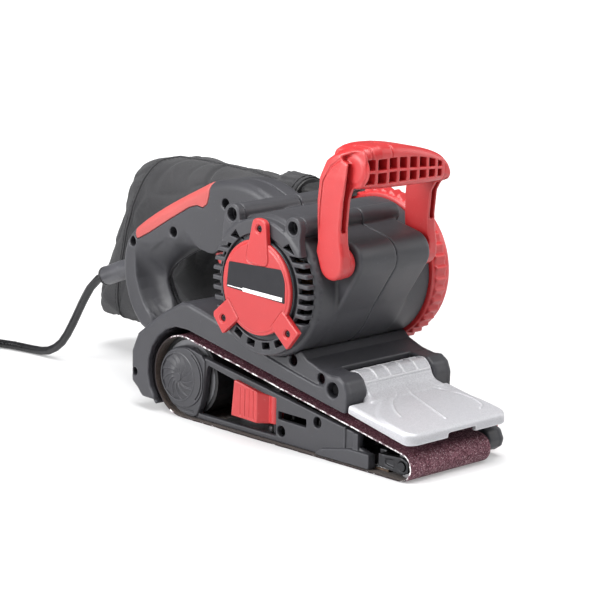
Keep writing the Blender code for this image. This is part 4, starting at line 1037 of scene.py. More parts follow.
def front_handle(x, y, z):
    u, w = x - PIVOT[0], z - PIVOT[1]
    arm = ex(poly(u, w, ARM), y, -44, -36, 2.4, 0.8)
    channel = poly(u, w, fillet([(0.5, 21), (-0.5, 40), (1.5, 54), (6, 63), (9, 66), (20, 66), (30, 50), (30, 21)], 2.0))
    arm = less(arm, ex(channel, y, -42.1, -38.0, 0.6), 0.4)
    recess = poly(u, w, fillet([(8.6, 15), (8.0, 24), (9.5, 42), (12.0, 58.5), (12.9, 65.8), (7.2, 68.2), (6.6, 70.2), (13, 73.0), (19.2, 74.2), (34, 74), (34, 15)], 0.8))
    arm = less(arm, ex(recess, y, -50, -38, 0.5), 0.6)
    groove = line(u, w, [(-10.9, 14), (-10.7, 20), (-9.8, 37.3), (-8, 52.6), (-1.7, 63), (5.6, 68.0)])
    arm = less(arm, np.maximum(groove - 0.45, y + 43.0), 0.15)
    hub_r = np.hypot(u, w)
    far = ex(poly(u, w, ARM_FAR), y, 38, 46, 0.8, 2.4)
    far_channel = poly(u, w, fillet([(0.5, 21), (-0.5, 36), (2, 46), (8, 51), (14, 53), (30, 44), (30, 21)], 2.0))
    far = less(far, ex(far_channel, y, 40.0, 44.1, 0.6), 0.4)
    far_groove = line(u, w, [(-10.6, 14), (-10.3, 22), (-9.6, 37), (-7.4, 49), (-1.6, 56.5), (7, 61)])
    far = less(far, np.maximum(far_groove - 0.45, 45.0 - y), 0.15)
    # tapered cross grip
    at = [-39.2, -31.0, -24.0, -10.0, 0.0, 12.0, 24.0, 36.8, 42.6]
    top = np.interp(y, at, [74.6, 76.9, 77.8, 77.2, 75.9, 73.7, 70.6, 66.6, 64.0]).astype(np.float32)
    bottom = np.interp(y, at, [50.3, 50.0, 49.5, 49.0, 48.6, 48.3, 48.1, 48.0, 48.9]).astype(np.float32)
    fwd = np.interp(y, at, [21.2, 23.2, 24.8, 24.8, 24.5, 24.1, 23.5, 22.0, 20.3]).astype(np.float32)
    rear = np.interp(y, at, [-5.0, -5.6, -5.0, -5.0, -5.0, -5.0, -5.0, -4.8, -4.4]).astype(np.float32)
    radius = 6.5
    q1 = np.abs(u - (fwd + rear) / 2) - (fwd - rear) / 2 + radius
    q2 = np.abs(w - (top + bottom) / 2) - (top - bottom) / 2 + radius
    grip = np.hypot(np.maximum(q1, 0), np.maximum(q2, 0)) + np.minimum(np.maximum(q1, q2), 0) - radius
    grip = rmax(rmax(grip, -37.6 - y, 1.2), y - 42.4, 2.0)
    skin_depth = grip
    low_lo = np.interp(y, [-36, -10, 24, 35], [53.3, 53.1, 52.6, 51.8])
    low_hi = np.interp(y, [-36, -10, 24, 35], [60.2, 60.0, 57.6, 56.6])
    up_lo = np.interp(y, [-36, -10, 24, 35], [62.0, 61.8, 59.3, 58.3])
    up_hi = np.interp(y, [-36, -10, 10, 24, 35], [68.9, 68.9, 67.4, 64.8, 61.4])
    depth = fwd - 10.0 - u
    for yc, half in COLUMNS:
        side = np.abs(y - yc) - half
        for lo, hi in ((low_lo, low_hi), (up_lo, up_hi)):
            pocket = np.maximum(np.maximum(side, np.maximum(lo - w, w - hi)), depth)
            grip = less(grip, pocket, 0.45)
    for yg in (-31.0, -14.5):
        mark = np.maximum(np.maximum(np.abs(y - yg) - 0.65, -(skin_depth + 0.9)), np.maximum(top - 8.0 - w, 7.0 - u))
        grip = less(grip, mark, 0.2)
    cone = (np.hypot(u - 13.4, w - 62.4) - (11.0 - (-37.0 - y) * 1.5)) * 0.55
    cone = rmax(rmax(cone, -38.9 - y, 0.6), y + 36.0, 0.2)
    d = rmin(arm, grip, 0.9)
    d = rmin(d, cone, 0.5)
    d = rmin(d, far, 0.9)
    d = rmax(d, poly(y, w, SPAN), 2.0)
    d = rmin(d, ex(hub_r - 10.0, y, -37, -31, 0.2, 0.6), 0.8)
    d = rmin(d, ex(hub_r - 10.0, y, 36.6, 39, 0.6, 0.2), 0.8)
    d = less(d, np.maximum(hub_r - 4.3, np.maximum(-41.0 - y, y + 28)), 0.2)
    return less(d, np.maximum(hub_r - 4.3, np.maximum(34 - y, y - 43.0)), 0.2)


solid("front_grip", (29.5, -45, 119), (71, 47, 212), 0.55, front_handle, M["red_plastic"], "grip", ("front_handle",), 3, 150000)

# ---------------------------------------------------------------------------
# base with belt guard
# ---------------------------------------------------------------------------
DRUM, ROLLER, HINGE = (-100.0, 28.8), (104.5, 9.5), (47.5, 49.0)


def belt_top(x):
    return 57.1 - 0.1906 * (x + 94.6)


BACK_TOP = [(-148.6, 17.8), (-148.6, 39.3), (-142.4, 52.5), (-128.9, 62.7), (-113.6, 73.2), (-98.4, 81.4), (-90.4, 82.0), (-63.4, 75.7), (-48.7, 70.8), (-25, 67.5), (5, 67.5), (13.9, 71.5), (22.4, 64.4), (34.4, 60.0)]
ARCH = [(59.6, belt_top(59.6) + 7.5), (-90, belt_top(-90) + 7.5)] + [
    (DRUM[0] + r * math.cos(math.radians(a)), DRUM[1] + r * math.sin(math.radians(a)))
    for a, r in ((96, 35.2), (112, 34.0), (130, 33.0), (148, 32.2), (166, 31.7), (184, 31.5), (202, 31.2), (222, 30.6))
]
LINER = arc(*DRUM, 34.2, 118, 172, 10) + arc(*DRUM, 33.6, 180, 222, 8)
LUG = [(45.4, 58.1), (51.7, 58.7), (57.2, 55.2), (60.0, 48.5)]
NEAR_WALL = fillet(BACK_TOP + LUG + ARCH + [(-136.8, 8.7)], 2.5)
FAR_WALL = fillet(
    BACK_TOP + LUG + [(59.8, 34), (72, 28), (98, 21.5), (105.5, 18), (108.5, 12), (107, 7), (102, 3.6), (92, 2.6), (-116, 3.4), (-136.8, 8.7)],
    2.0,
)
ROOF = [(36.5, 59.3)] + BACK_TOP[::-1] + [(-144.6, 17.8)] + [(x + (4 if x < -95 else 0), z - 4) for x, z in BACK_TOP[1:]] + [(36.5, 55.3)]
LUG_BLOCK = fillet([(34, 59.8)] + LUG + [(59.6, 36), (34, 40.5)], 4.5)
GUSSET = fillet(
    [(-52, 76), (-44, 72.2), (-37.4, 69.6), (-27.7, 65.1), (-13.2, 59.9), (10.4, 54.3), (32.8, 49.6), (38.6, 49.4), (41.6, 53.4), (39.8, 58.6), (34.4, 66), (14, 84), (-40, 84)],
    2.0,
)


def base(x, y, z):
    wall = poly(x, z, NEAR_WALL)
    to_top, to_arch = line(x, z, BACK_TOP), line(x, z, ARCH)
    round_by = 0.8 + 1.8 * ease(to_arch - to_top, -2, 6)
    near = rmax(rmax(wall, -42 - y, round_by), y + 37.5, 0.3)
    near = less(near, ex(poly(x, z, GUSSET), y, -50, -40.4, 0.3), 0.5)
    d = rmin(near, ex(poly(x, z, ROOF), y, -40.5, 56.5, 0.3), 0.6)
    far = rmax(rmax(poly(x, z, FAR_WALL), 54.5 - y, 0.3), y - 58, 1.6)
    far = less(far, ex(rmax(poly(x, z, FAR_WALL) + 5.0, disc(x, z, *DRUM, 34) * -1.0, 2.0), y, 57.1, 70, 0.3), 0.4)
    d = rmin(d, far, 0.8)
    nose = fillet([(80, 25.8), (98, 21.3), (105.3, 17.9), (108.3, 12), (106.8, 7), (101.9, 3.7), (92, 2.7), (80, 2.8)], 2.0)
    d = rmin(d, ex(poly(x, z, nose), y, 44, 55.5, 1.0, 0.2), 0.8)
    lug = poly(x, z, LUG_BLOCK)
    d = rmin(d, ex(lug, y, -41, -22, 0.4, 1.6), 0.5)
    d = rmin(d, ex(lug, y, 42, 57, 1.6, 0.4), 0.5)
    liner = line(x, z, LINER) - 1.2
    d = rmin(d, ex(liner, y, -40, 54.8, 0.3), 0.3)
    foot = ex(poly(x, z, fillet(rect(-169, -142, 23, 44), 5.0)), y, -12, 20, 6.0)
    d = rmin(d, foot, 4.0)
    d = less(d, disc(x, z, MX, MZ, 47.35), 0.4)
    d = less(d, np.maximum(disc(x, z, *HINGE, 3.3), np.maximum(-39 - y, y - 54)), 0.2)
    d = less(d, np.maximum(disc(x, z, *HINGE, 5.2), y + 24.5), 0.5)
    for cx, cz, r, deep in ((9.4, 61.4, 3.7, -35.0), (35.7, 54.2, 3.7, -34.0), (-145.2, 24.9, 2.9, -30.0)):
        d = less(d, np.maximum(disc(x, z, cx, cz, r), y - deep), 0.4)
    return less(d, np.maximum(disc(x, z, *DRUM, 7.0), 50 - y), 0.4)


solid("base_shell", (-170.5, -43, 1.5), (110, 59, 84), 0.85, base, M["dark_plastic"], "sander", ("base_frame",), 3, 150000)

# ---------------------------------------------------------------------------
# nose cover
# ---------------------------------------------------------------------------
TONGUE = soften(
    [(52, -14), (60, -11.5), (66, -17), (72, -25), (78.6, -33.5), (86.8, -39.0), (97.8, -41.2), (124, -43), (124, 54), (98, 51.6), (87, 49.5), (78.6, 45), (72, 37.0), (66, 30), (60, 25.0), (52, 27)],
    2,
)
CREST = [(63.5, 11.6), (105.8, 2.1)]
CURL = catmull([(60.5, 2.6, 0), (66.1, -1.4, 0), (69.6, -7.6, 0), (73.7, -13.3, 0), (83.1, -20.6, 0), (91.2, -24.4, 0)], 2.0)
HOOK = catmull([(60.5, 35.4, 0), (74.5, 41.1, 0), (86.1, 44.6, 0), (96, 44.6, 0), (101.5, 42, 0), (104.5, 37.2, 0)], 2.0)
COVER_SIDE = [(61.0, 36.2), (61.0, 52), (119, 42), (118.0, 32.4), (116.8, 25.6), (112.5, 25.0)]
HOLLOW = [(63.5, 18), (63.5, 39.2), (110.6, 30.2), (113.6, 28.8), (114.0, 18)]


def nose_cover(x, y, z):
    swell = 1.0 * ease(-poly(x, y, TONGUE), -2.2, 2.2)
    for pts, high, wide in ((CREST, 0.75, 0.85), (CURL, 0.6, 0.85), (HOOK, 0.5, 0.85)):
        swell = swell + high * np.exp(-((line(x, y, [(p[0], p[1]) for p in pts]) / wide) ** 2))
    top = 42.2 - 0.186 * (x - 61)
    over = (z - top - swell) * 0.98
    plan = rmax(rmax(x - 117.4, np.abs(y - 5.25) - 46.75, 9.0), 61.0 - x, 1.0)
    slab = rmax(rmax(rmax(poly(x, z, COVER_SIDE), plan, 1.2), over, 2.6), 25.2 - z, 0.6)
    inner = rmax(rmax(x - 114.2, np.abs(y - 5.25) - 44.0, 7.0), 63.5 - x, 1.0)
    slab = less(slab, rmax(inner, poly(x, z, HOLLOW), 1.0), 0.3)
    r, a = np.hypot(x - HINGE[0], z - HINGE[1]), np.degrees(np.arctan2(z - HINGE[1], x - HINGE[0]))
    bays = np.minimum.reduce([np.abs(y - (-15.3 + 12.64 * i)) - 5.45 for i in range(5)])
    barrel = ex(r - 9.9, y, -21.4, 41.4, 1.0)
    neck = ex(poly(x, z, [(47, 40.6), (48, 58.6), (51.5, 57.8), (56, 53.0), (59.5, 47.5), (64, 41.0), (64, 37.2)]), y, -21.4, 41.4, 1.0)
    d = rmin(barrel, neck, 1.0)
    dip = np.maximum(np.maximum(bays, (26 - a) * 0.17), (a - 118) * 0.17)
    d = less(d, np.maximum(dip, -(d + 1.25)), 0.45)
    d = less(d, np.maximum(np.maximum(np.abs(a - 14) * 0.17 - 0.35, np.abs(y - 10) - 30.3), -(d + 0.55)), 0.2)
    d = rmin(d, slab, 4.5)
    web = ex(poly(x, z, [(56, 39), (56, 46), (66, 42.2), (66, 38)]), y, -25.5, 45.5, 3.0)
    d = rmin(d, web, 3.0)
    d = rmax(d, 37.2 - x, 0.0)
    d = less(d, np.maximum(disc(x, z, *HINGE, 3.3), np.abs(y - 10) - 60), 0.3)
    notch = rmax(np.maximum(109.0 - x, np.abs(y - 6.6) - 13.0), z - 28.8, 1.2)
    return less(d, notch, 0.7)


solid("nose_lid_shell", (36.5, -42.6, 23.5), (119, 53, 60.5), 0.52, nose_cover, M["silver_paint"], "nose_lid", ("nose_cover",), 3, 150000)

# ---------------------------------------------------------------------------
# belt frame, drum cap, lever, fork
# ---------------------------------------------------------------------------
CAP_AT = (-104.5, 29.3)
SWIRL = (-105.6, 27.9)
CHEEK = soften([(-94, 50.0), (-101, 50.0), (-109, 48.0), (-115.8, 44.6), (-120.4, 39.6), (-122.6, 33), (-122.8, 26), (-121.2, 18.5), (-117.2, 12), (-111.4, 6.7), (-104.4, 3.4), (-97, 2.0), (-88, 1.7), (-84, 9), (-80.5, 20), (-79.2, 34), (-79, 46.2)], 1)
NEAR_PLATE = fillet([(-94, 50.0), (-101, 50.0), (-109, 48.0), (-115.8, 44.6), (-120.4, 39.6), (-122.6, 33), (-122.8, 26), (-121.2, 18.5), (-117.2, 12), (-111.4, 6.7), (-104.4, 3.4), (-97, 2.0)] + [(-88, 1.6), (77, 1.6), (77, 10.5), (66, 13.5), (66, belt_top(66) - 4.6), (-86, belt_top(-86) - 9.4)], 1.0)
FINGER = fillet(
    [(-77.6, 40.6), (-78.7, 36.5), (-79.4, 30.0), (-80.3, 22.0), (-81.8, 15.6), (-84.0, 9.6), (-86.6, 5.2), (-11, 5.2), (-11, 31.0), (-40, belt_top(-40) - 13.4), (-74, belt_top(-74) - 13.4)],
    1.2,
)


def near_plate(x, y, z):
    d = ex(poly(x, z, NEAR_PLATE), y, -35, -31.05, 0.7, 0.3)
    foot = poly(x, z, fillet([(27, 1.6), (33.5, 6.6), (58, 11.6), (76.6, 11.4), (76.6, 1.6)], 1.0))
    d = rmin(d, ex(foot, y, -37.6, -31.3, 0.6, 0.3), 0.5)
    ribs = np.minimum(poly(x, z, rect(52.6, 54.2, 9, 25)), poly(x, z, rect(61.0, 65.6, 11, 22.6)))
    d = rmin(d, ex(ribs, y, -36.2, -32, 0.4), 0.5)
    d = rmin(d, ex(poly(x, z, CHEEK) + 0.4, y, -36.4, -32, 0.5), 0.6)
    d = less(d, poly(x, z, FINGER), 0.5)
    d = less(d, poly(x, z, fillet([(-8.8, 17.2), (17.4, 16.7), (17.4, 22.3), (-8.8, 22.6)], 0.6)), 0.4)
    for cx, cz, r in ((-5.9, 9.4, 3.7), (27.5, 22.3, 3.7)):
        d = less(d, disc(x, z, cx, cz, r), 0.5)
    step = line(x, z, [(-110, 6.4), (-100, 5.6), (-90.5, 5.8)])
    d = less(d, np.maximum(step - 0.5, y + 35.6), 0.2)
    return less(d, disc(x, z, *DRUM, 9.3), 0.2)


solid("frame_side", (-127.5, -38.6, 0.6), (78.5, -30, 56), 0.55, near_plate, M["dark_plastic"], "sander", ("belt_frame",), 3, 100000)
FAR_PLATE = fillet(arc(*DRUM, 26.3, 82, 262, 20) + [(-88, 4.0), (70, 4.0), (78, 8), (78, 16), (66, belt_top(66) - 5), (-94, belt_top(-94) - 5)], 1.5)


def frame_inside(x, y, z):
    d = ex(poly(x, z, FAR_PLATE), y, 42.2, 46, 0.6)
    d = less(d, disc(x, z, *DRUM, 9.3), 0.4)
    beam = ex(poly(x, z, rect(-66, 49, 5.0, 9.4)), y, -14.0, 42.6, 0.2)
    beam = rmin(beam, ex(poly(x, z, rect(-22, -10.6, 5.0, 9.4)), y, -31.0, -10.0, 0.2), 0.4)
    beam = rmin(beam, ex(poly(x, z, rect(40, 49, 5.0, 9.4)), y, -31.0, -10.0, 0.2), 0.4)
    for c in (-45, -20, 5, 28):
        beam = rmin(beam, ex(poly(x, z, rect(c - 1.5, c + 1.5, 9, 15)), y, -10, 42.6, 0.4), 1.2)
    d = rmin(d, beam, 1.0)
    d = rmin(d, ex(poly(x, z, fillet(rect(44, 50, 8, 18), 1.0)), y, -31.0, 42.6, 0.2), 1.0)
    d = rmin(d, ex(poly(x, z, fillet(rect(-60, -44, 12, 24), 2.0)), y, 45.5, 54.2, 0.4), 0.8)
    d = rmin(d, ex(poly(x, z, fillet(rect(30, 46, 8, 18), 2.0)), y, 45.5, 54.2, 0.4), 0.8)
    hole = np.maximum(np.hypot(x + 16.2, y + 29.0) - 2.3, np.maximum(3 - z, z - 12))
    return less(d, hole)


# the beam takes the blacker plastic so the inside of the frame reads dark: painted shade
solid("frame_beam", (-127.5, -32, 3), (79.5, 55.2, 56), 1.0, frame_inside, M["black_plastic"], "sander", (), 2, 50000)


def drum_cap(x, y, z):
    r, a = np.hypot(x - SWIRL[0], z - SWIRL[1]), np.arctan2(z - SWIRL[1], x - SWIRL[0])
    deg = np.degrees(a)
    ring = rmax(disc(x, z, -101.5, 28.6, 21.2), poly(x, z, CHEEK) + 0.8, 0.6)
    d = ex(ring, y, -37.3, -35.3, 0.6, 0.2)
    twist = (a - 0.05 * np.maximum(r - 3, 0)) * 13 / (2 * math.pi)
    saw = twist - np.floor(twist)
    lift = np.where(saw < 0.84, saw / 0.84, (1 - saw) / 0.16) * ease(r, 3.4, 6.4)
    floor_y = -36.6 + 0.75 * ease(r, 8.0, 15.6) - 0.95 * lift
    d = less(d, np.maximum(r - 16.2, y - floor_y), 0.2)
    d = rmin(d, np.maximum(np.maximum(r - 16.0, floor_y - y), y + 35.4), 0.15)
    d = rmin(d, ex(np.abs(r - 16.5) - 0.55, y, -37.7, -35.5, 0.3), 0.2)
    out = np.hypot(x + 101.5, z - 28.6)
    turn = np.degrees(np.arctan2(z - 28.6, x + 101.5))
    arc_cut = np.maximum(np.abs(out - 19.4) - 0.5, np.maximum(-46 - turn, turn - 60))
    d = less(d, np.maximum(arc_cut, y + 36.4), 0.2)
    return rmin(d, ex(r - 3.2, y, -37.5, -35.5, 0.5), 0.3)


solid("drum_cap_fan", (-128, -38.6, 5.0), (-78.5, -34.8, 52.8), 0.33, drum_cap, M["dark_plastic"], "sander", ("drum_cap",), 2, 90000)


def lever(x, y, z):
    side = poly(x, z, fillet([(-51.0, 11.8), (-18.6, 11.0), (-18.6, 30.6), (-26.3, 32.7), (-48.6, 36.8)], 1.0))
    plan = poly(x, y, fillet([(-54, -38.4), (-26.4, -38.4), (-18.6, -31.0), (-18.6, -21.0), (-54, -21.0)], 1.2))
    bow = -38.4 + 0.8 * (1 - np.clip((x + 38.7) / 12.3, -1, 1) ** 2)
    d = rmax(rmax(side, plan, 1.0), bow - y, 0.6)
    for c in (-42.5, -38.2, -33.9, -29.6):
        d = less(d, np.maximum(np.abs(x - c) - 0.3, np.maximum(y - bow - 0.55, np.maximum(13.4 - z, z - 33.0))), 0.15)
    back = np.minimum(np.maximum(-34.4 - y, x + 27.6), -29.0 - y)
    d = less(d, np.maximum(back, 28.6 - 0.19 * (x + 33) - z), 0.6)
    scoop = rmax(poly(x, z, fillet([(-55, 16.5), (-31, 16.0), (-31, 29), (-55, 31.5)], 2.0)), -34.0 - y, 1.0)
    d = less(d, np.maximum(scoop, y + 19), 0.5)
    eye = np.hypot(x + 16.2, y + 29.0)
    d = rmin(d, rmax(eye - 4.6, np.abs(z - 21.5) - 9.5, 0.6), 0.8)
    return less(d, eye - 2.3, 0.2)


solid("belt_release", (-52, -39.6, 9.5), (-10.5, -19.8, 38), 0.42, lever, M["red_plastic"], "belt_lever", ("tension_lever",), 3, 50000)


def yoke(x, y, z):
    d = box3(x, y, z, 80, 86, -30.5, 41.8, 5.6, 15.5)
    d = rmin(d, box3(x, y, z, 60, 80.5, -10, 10, 6.2, 14), 1.0)
    d = rmin(d, box3(x, y, z, 84, 88, -36, -30, 5.6, 14.2), 0.5)
    d = rmin(d, ex(poly(x, z, fillet([(87, 5.6), (104, 3.6), (110, 6), (110, 13), (104, 15.2), (87, 14.2)], 2.0)), y, -36, -32, 0.6), 0.6)
    d = less(d, np.maximum(poly(x, z, fillet([(90, 8.2), (97.5, 7.2), (97.5, 12.4), (90, 11.8)], 1.0)), y + 34.8), 0.3)
    d = rmin(d, ex(poly(x, z, fillet([(85, 5.6), (104, 3.6), (110, 6), (110, 13), (104, 15.2), (85, 15.5)], 2.0)), y, 38.8, 41.8, 0.6), 0.6)
    return less(d, disc(x, z, *ROLLER, 3.3), 0.2)


solid("roller_fork_casting", (59, -37, 2.6), (111, 42.8, 16.6), 0.6, yoke, M["dark_screw"], "roller_fork", ("roller_yoke",), 2, 40000)

# helical tension spring behind the fork
helix = [(51.2 + 7.9 * i / 160, 4.3 * math.cos(2 * math.pi * 5.5 * i / 160), 10 + 4.3 * math.sin(2 * math.pi * 5.5 * i / 160)) for i in range(161)]
v, f = sweep(helix, 0.62, 8)
spring = mesh_object("fork_spring", v, f, M["steel"], "sander", ("tension_spring",))
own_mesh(spring)

# ---------------------------------------------------------------------------
# drive cover, dust outlet, knob
# ---------------------------------------------------------------------------
COVER_HULL, COVER_HOLLOW = hull((MX, MZ), 48.0, DRUM, 27.0, 80, 50), hull((MX, MZ), 44.5, DRUM, 24.4, 70, 40)


def drive_cover(x, y, z):
    r, a = np.hypot(x - MX, z - MZ), np.arctan2(z - MZ, x - MX)
    body = poly(x, z, COVER_HULL)
    d = rmax(rmax(body, 58.3 - y, 0.3), y - 75, 3.5)
    d = rmin(d, rmax(rmax(r - 49.5, 58.3 - y, 0.3), y - 77, 4.5), 1.0)
    teeth = a * 42 / (2 * math.pi)
    teeth = teeth - np.floor(teeth)
    rim = 49.9 + 2.4 * np.where(teeth < 0.7, teeth / 0.7, (1 - teeth) / 0.3)
    d = rmin(d, ex((r - rim) * 0.8, y, 60, 70, 0.5), 0.4)
    panel = rmax(body + 7.5, -(r - 41), 2.5)
    d = less(d, np.maximum(panel, 74.0 - y), 0.5)
    d = less(d, np.maximum(np.abs(r - 39.0) - 0.8, 75.9 - y), 0.4)
    d = less(d, np.maximum(r - 24.0, 76.0 - y), 0.5)
    vents = np.minimum.reduce([spoke(x, z, 15 + 30 * i, 27.5, 36.0, 1.6) for i in range(12)])
    d = less(d, np.maximum(vents, 70.0 - y), 0.5)
    for cx, cz in ((MX, MZ + 43.4), (-52.0, 40.5), (-91.5, 94.0), (DRUM[0], DRUM[1])):
        d = less(d, np.maximum(disc(x, z, cx, cz, 3.0), 71.0 - y), 0.5)
    return less(d, np.maximum(poly(x, z, COVER_HOLLOW), y - 72.2), 0.5)


solid("drive_shell", (-128.2, 57.4, 0.9), (45, 78.2, 163), 0.85, drive_cover, M["red_plastic"], "sander", ("drive_cover",), 3, 110000)

SPIGOT_Y, SPIGOT_Z = 62.0, 141.0


def outlet(x, y, z):
    side = poly(x, z, fillet([(-77, 128), (-77, 154), (-72, 157), (-30, 157), (-25, 154), (-30, 128)], 3.0))
    d = ex(side, y, 47, 77, 6.0)
    rr = np.hypot(y - SPIGOT_Y, z - SPIGOT_Z)
    d = rmin(d, rmax(rmax(rr - 13, -98 - x, 0.8), x + 70, 0.5), 2.5)
    d = rmin(d, rmax(rmax(rr - 13.25, -97.6 - x, 0.3), x + 96.2, 0.3), 0.3)
    d = less(d, np.maximum(np.abs(x + 52) - 14, np.maximum(np.abs(z - 146) - 5, 76.2 - y)), 0.5)
    d = less(d, disc(x, z, MX, MZ, 53.2), 0.4)
    return less(d, np.maximum(rr - 11, x + 66), 0.4)


solid("dust_duct", (-99, 46, 127), (-24, 78, 158), 0.7, outlet, M["black_plastic"], "sander", ("dust_outlet",), 3, 40000)


def knob(x, y, z):
    r, a = np.hypot(x - 84, z - 14), np.arctan2(z - 14, x - 84)
    d = ex(r - 8.7 + 0.45 * np.cos(a * 14), y, 58.3, 69.8, 0.3, 1.4)
    d = less(d, np.maximum(r - 5.4, 69.0 - y), 0.4)
    return less(d, np.maximum(np.abs(x - 84) - 0.8, np.maximum(np.abs(z - 14) - 4.6, 67.6 - y)), 0.2)


solid("tracking_dial", (74.5, 57.6, 4.5), (93.5, 70.6, 23.5), 0.35, knob, M["red_plastic"], "tracking", ("tracking_knob",), 2, 24000)

along_x = Matrix.Translation((0, SPIGOT_Y, SPIGOT_Z)) @ Matrix.Rotation(-math.pi / 2, 4, "Y")
collar = [(13.3, 79.2), (16.6, 79.2), (17.4, 80.0), (17.4, 82.6), (16.5, 83.4)]
for c in range(4):
    h0 = 84.6 + 2.3 * c
    collar += [(16.5, h0), (17.0, h0 + 0.5), (17.0, h0 + 1.1), (16.5, h0 + 1.6)]
collar += [(16.5, 94.0), (17.4, 94.6), (17.4, 96.8), (16.8, 97.3), (13.3, 97.3)]
lathe("bag_ring", collar, 72, along_x, M["black_plastic"], "bag", ("bag_collar",))

# ---------------------------------------------------------------------------
# abrasive belt
# ---------------------------------------------------------------------------
def belt_loop(offset):
    d, r = (DRUM[0], 28.8), (ROLLER[0], 9.5)
    dx, dz = r[0] - d[0], ROLLER[1] - DRUM[1]
    base = math.degrees(math.atan2(dz, dx))
    turn = math.degrees(math.acos((28.8 - 9.5) / math.hypot(dx, dz)))
    pts = arc(r[0], ROLLER[1], 9.5 - offset, base - turn, base + turn, 22)
    far_arc = arc(d[0], DRUM[1], 28.8 - offset, base + turn, base + 360 - turn, 44)
    for a, b, m in ((pts[-1], far_arc[0], 60),):
        pts += [(a[0] + (b[0] - a[0]) * i / m, a[1] + (b[1] - a[1]) * i / m) for i in range(1, m)]
    pts += far_arc
    a, b, m = far_arc[-1], arc(r[0], ROLLER[1], 9.5 - offset, base - turn, base + turn, 22)[0], 60
    return pts + [(a[0] + (b[0] - a[0]) * i / m, a[1] + (b[1] - a[1]) * i / m) for i in range(1, m)]


rng = np.random.RandomState(7)
loop_out, loop_in = belt_loop(0.0), belt_loop(0.95)
count = len(loop_out)
across = [-1.0, -0.985, -0.9, -0.6, -0.2, 0.2, 0.6, 0.9, 0.985, 1.0]
near_wobble = np.convolve(np.tile(rng.uniform(-1, 1, count), 3), [0.25, 0.5, 0.25], "same")[count : 2 * count] * 0.32
far_wobble = np.convolve(np.tile(rng.uniform(-1, 1, count), 3), [0.25, 0.5, 0.25], "same")[count : 2 * count] * 0.3
verts, faces, tags = [], [], []
cols = len(across)
for i in range(count):
    for layer in (loop_out, loop_in):
        for t in across:
            y = 37.7 * t + (near_wobble[i] if t <= -0.985 else far_wobble[i] if t >= 0.985 else 0.0)
            verts.append((layer[i][0], y, layer[i][1]))
for i in range(count):
    j = (i + 1) % count
    o, n = i * 2 * cols, j * 2 * cols
    for c in range(cols - 1):
        faces.append((o + c, n + c, n + c + 1, o + c + 1))
        tags.append(0)
        faces.append((o + cols + c, o + cols + c + 1, n + cols + c + 1, n + cols + c))
        tags.append(1)
    faces.append((o, o + cols, n + cols, n))
    # the cut edge round the back of the drum and along the bottom run gets the near-black colour: painted shade
    tags.append(3 if loop_out[i][0] < -113 or loop_out[i][1] < 1.5 else 2)
    faces.append((o + cols - 1, n + cols - 1, n + 2 * cols - 1, o + 2 * cols - 1))
    tags.append(2)
# loose threads on both cut edges
strands = []
for side in (-1, 1):
    for _ in range(150):
        i = rng.randint(count)
        if loop_out[i][0] < -112:
            continue
        j = (i + 1) % count
        t = rng.uniform()
        x, z = loop_in[i][0] * (1 - t) + loop_in[j][0] * t, loop_in[i][1] * (1 - t) + loop_in[j][1] * t
        ox, oz = loop_out[i][0] * (1 - t) + loop_out[j][0] * t, loop_out[i][1] * (1 - t) + loop_out[j][1] * t
        k = rng.uniform(0.25, 0.8)
        x, z = x + (ox - x) * k, z + (oz - z) * k
        tx, tz = loop_out[j][0] - loop_out[i][0], loop_out[j][1] - loop_out[i][1]
        size = math.hypot(tx, tz) or 1.0
        tx, tz = tx / size, tz / size
        nx, nz = (ox - loop_in[i][0]), (oz - loop_in[i][1])
        long_ = rng.uniform(0.5, 2.6)
        lean, drop = rng.uniform(-0.9, 0.9), rng.uniform(-0.7, 0.1)
        pts = []
        for m in range(4):
            q = m / 3 * long_
            pts.append((x + tx * lean * q - nx * 0.12 * (q + 0.4 * q * q) * 0.5, side * (37.4 + min(0.32 * q, 0.5)), z + tz * lean * q + drop * q * q * 0.22))
        pts = [(p[0], p[1], max(p[2], 0.12)) for p in pts]
        strands.append(sweep(pts, [0.16, 0.14, 0.11, 0.05], 5))
belt = mesh_object("abrasive_belt", verts, faces, M["grit"], "sander", ("sanding_belt",))
belt.data.materials.append(M["backing"])
belt.data.materials.append(M["frayed"])
belt.data.materials.append(M["shade_painted_edge"])
belt.data.polygons.foreach_set("material_index", np.array(tags, np.int32))
belt.data.set_sharp_from_angle(angle=math.radians(50))
sv, sf = merged(strands)
mesh_object("belt_threads", sv, sf, M["frayed"], "sander", ())

# ---------------------------------------------------------------------------
# dust bag: sewn fabric, swelled by a cloth simulation
# ---------------------------------------------------------------------------
BAG = [
    (-97.8, 62.5, 140.6, 15.6, 15.2), (-104, 66, 134.5, 24.4, 20.5), (-125, 71, 118.6, 32, 34.9), (-160, 74.5, 103.0, 35.5, 49.5), (-200, 76, 93.5, 37, 59.0),
    (-226, 76, 88.4, 37, 64.0), (-240, 76, 86.2, 36, 64.6), (-251, 76, 81.4, 35, 60.2), (-260, 76, 72.4, 33.5, 51.2), (-271, 76, 62.0, 32, 40.8),
    (-282, 75.5, 49.3, 29.5, 28.0), (-291, 75, 37.6, 25, 16.2), (-296, 74.5, 31.8, 17, 9.2),
]
rows = catmull([Vector((b[0], b[1], b[2])) for b in BAG], 7.0)
sizes = catmull([Vector((b[0], b[3], b[4])) for b in BAG], 7.0)
if len(sizes) != len(rows):
    pos = np.linspace(0, 1, len(rows))
    old = np.linspace(0, 1, len(sizes))
    sizes = [Vector((0, float(np.interp(p, old, [s.y for s in sizes])), float(np.interp(p, old, [s.z for s in sizes])))) for p in pos]
bm = bmesh.new()
rings = []
around = 56
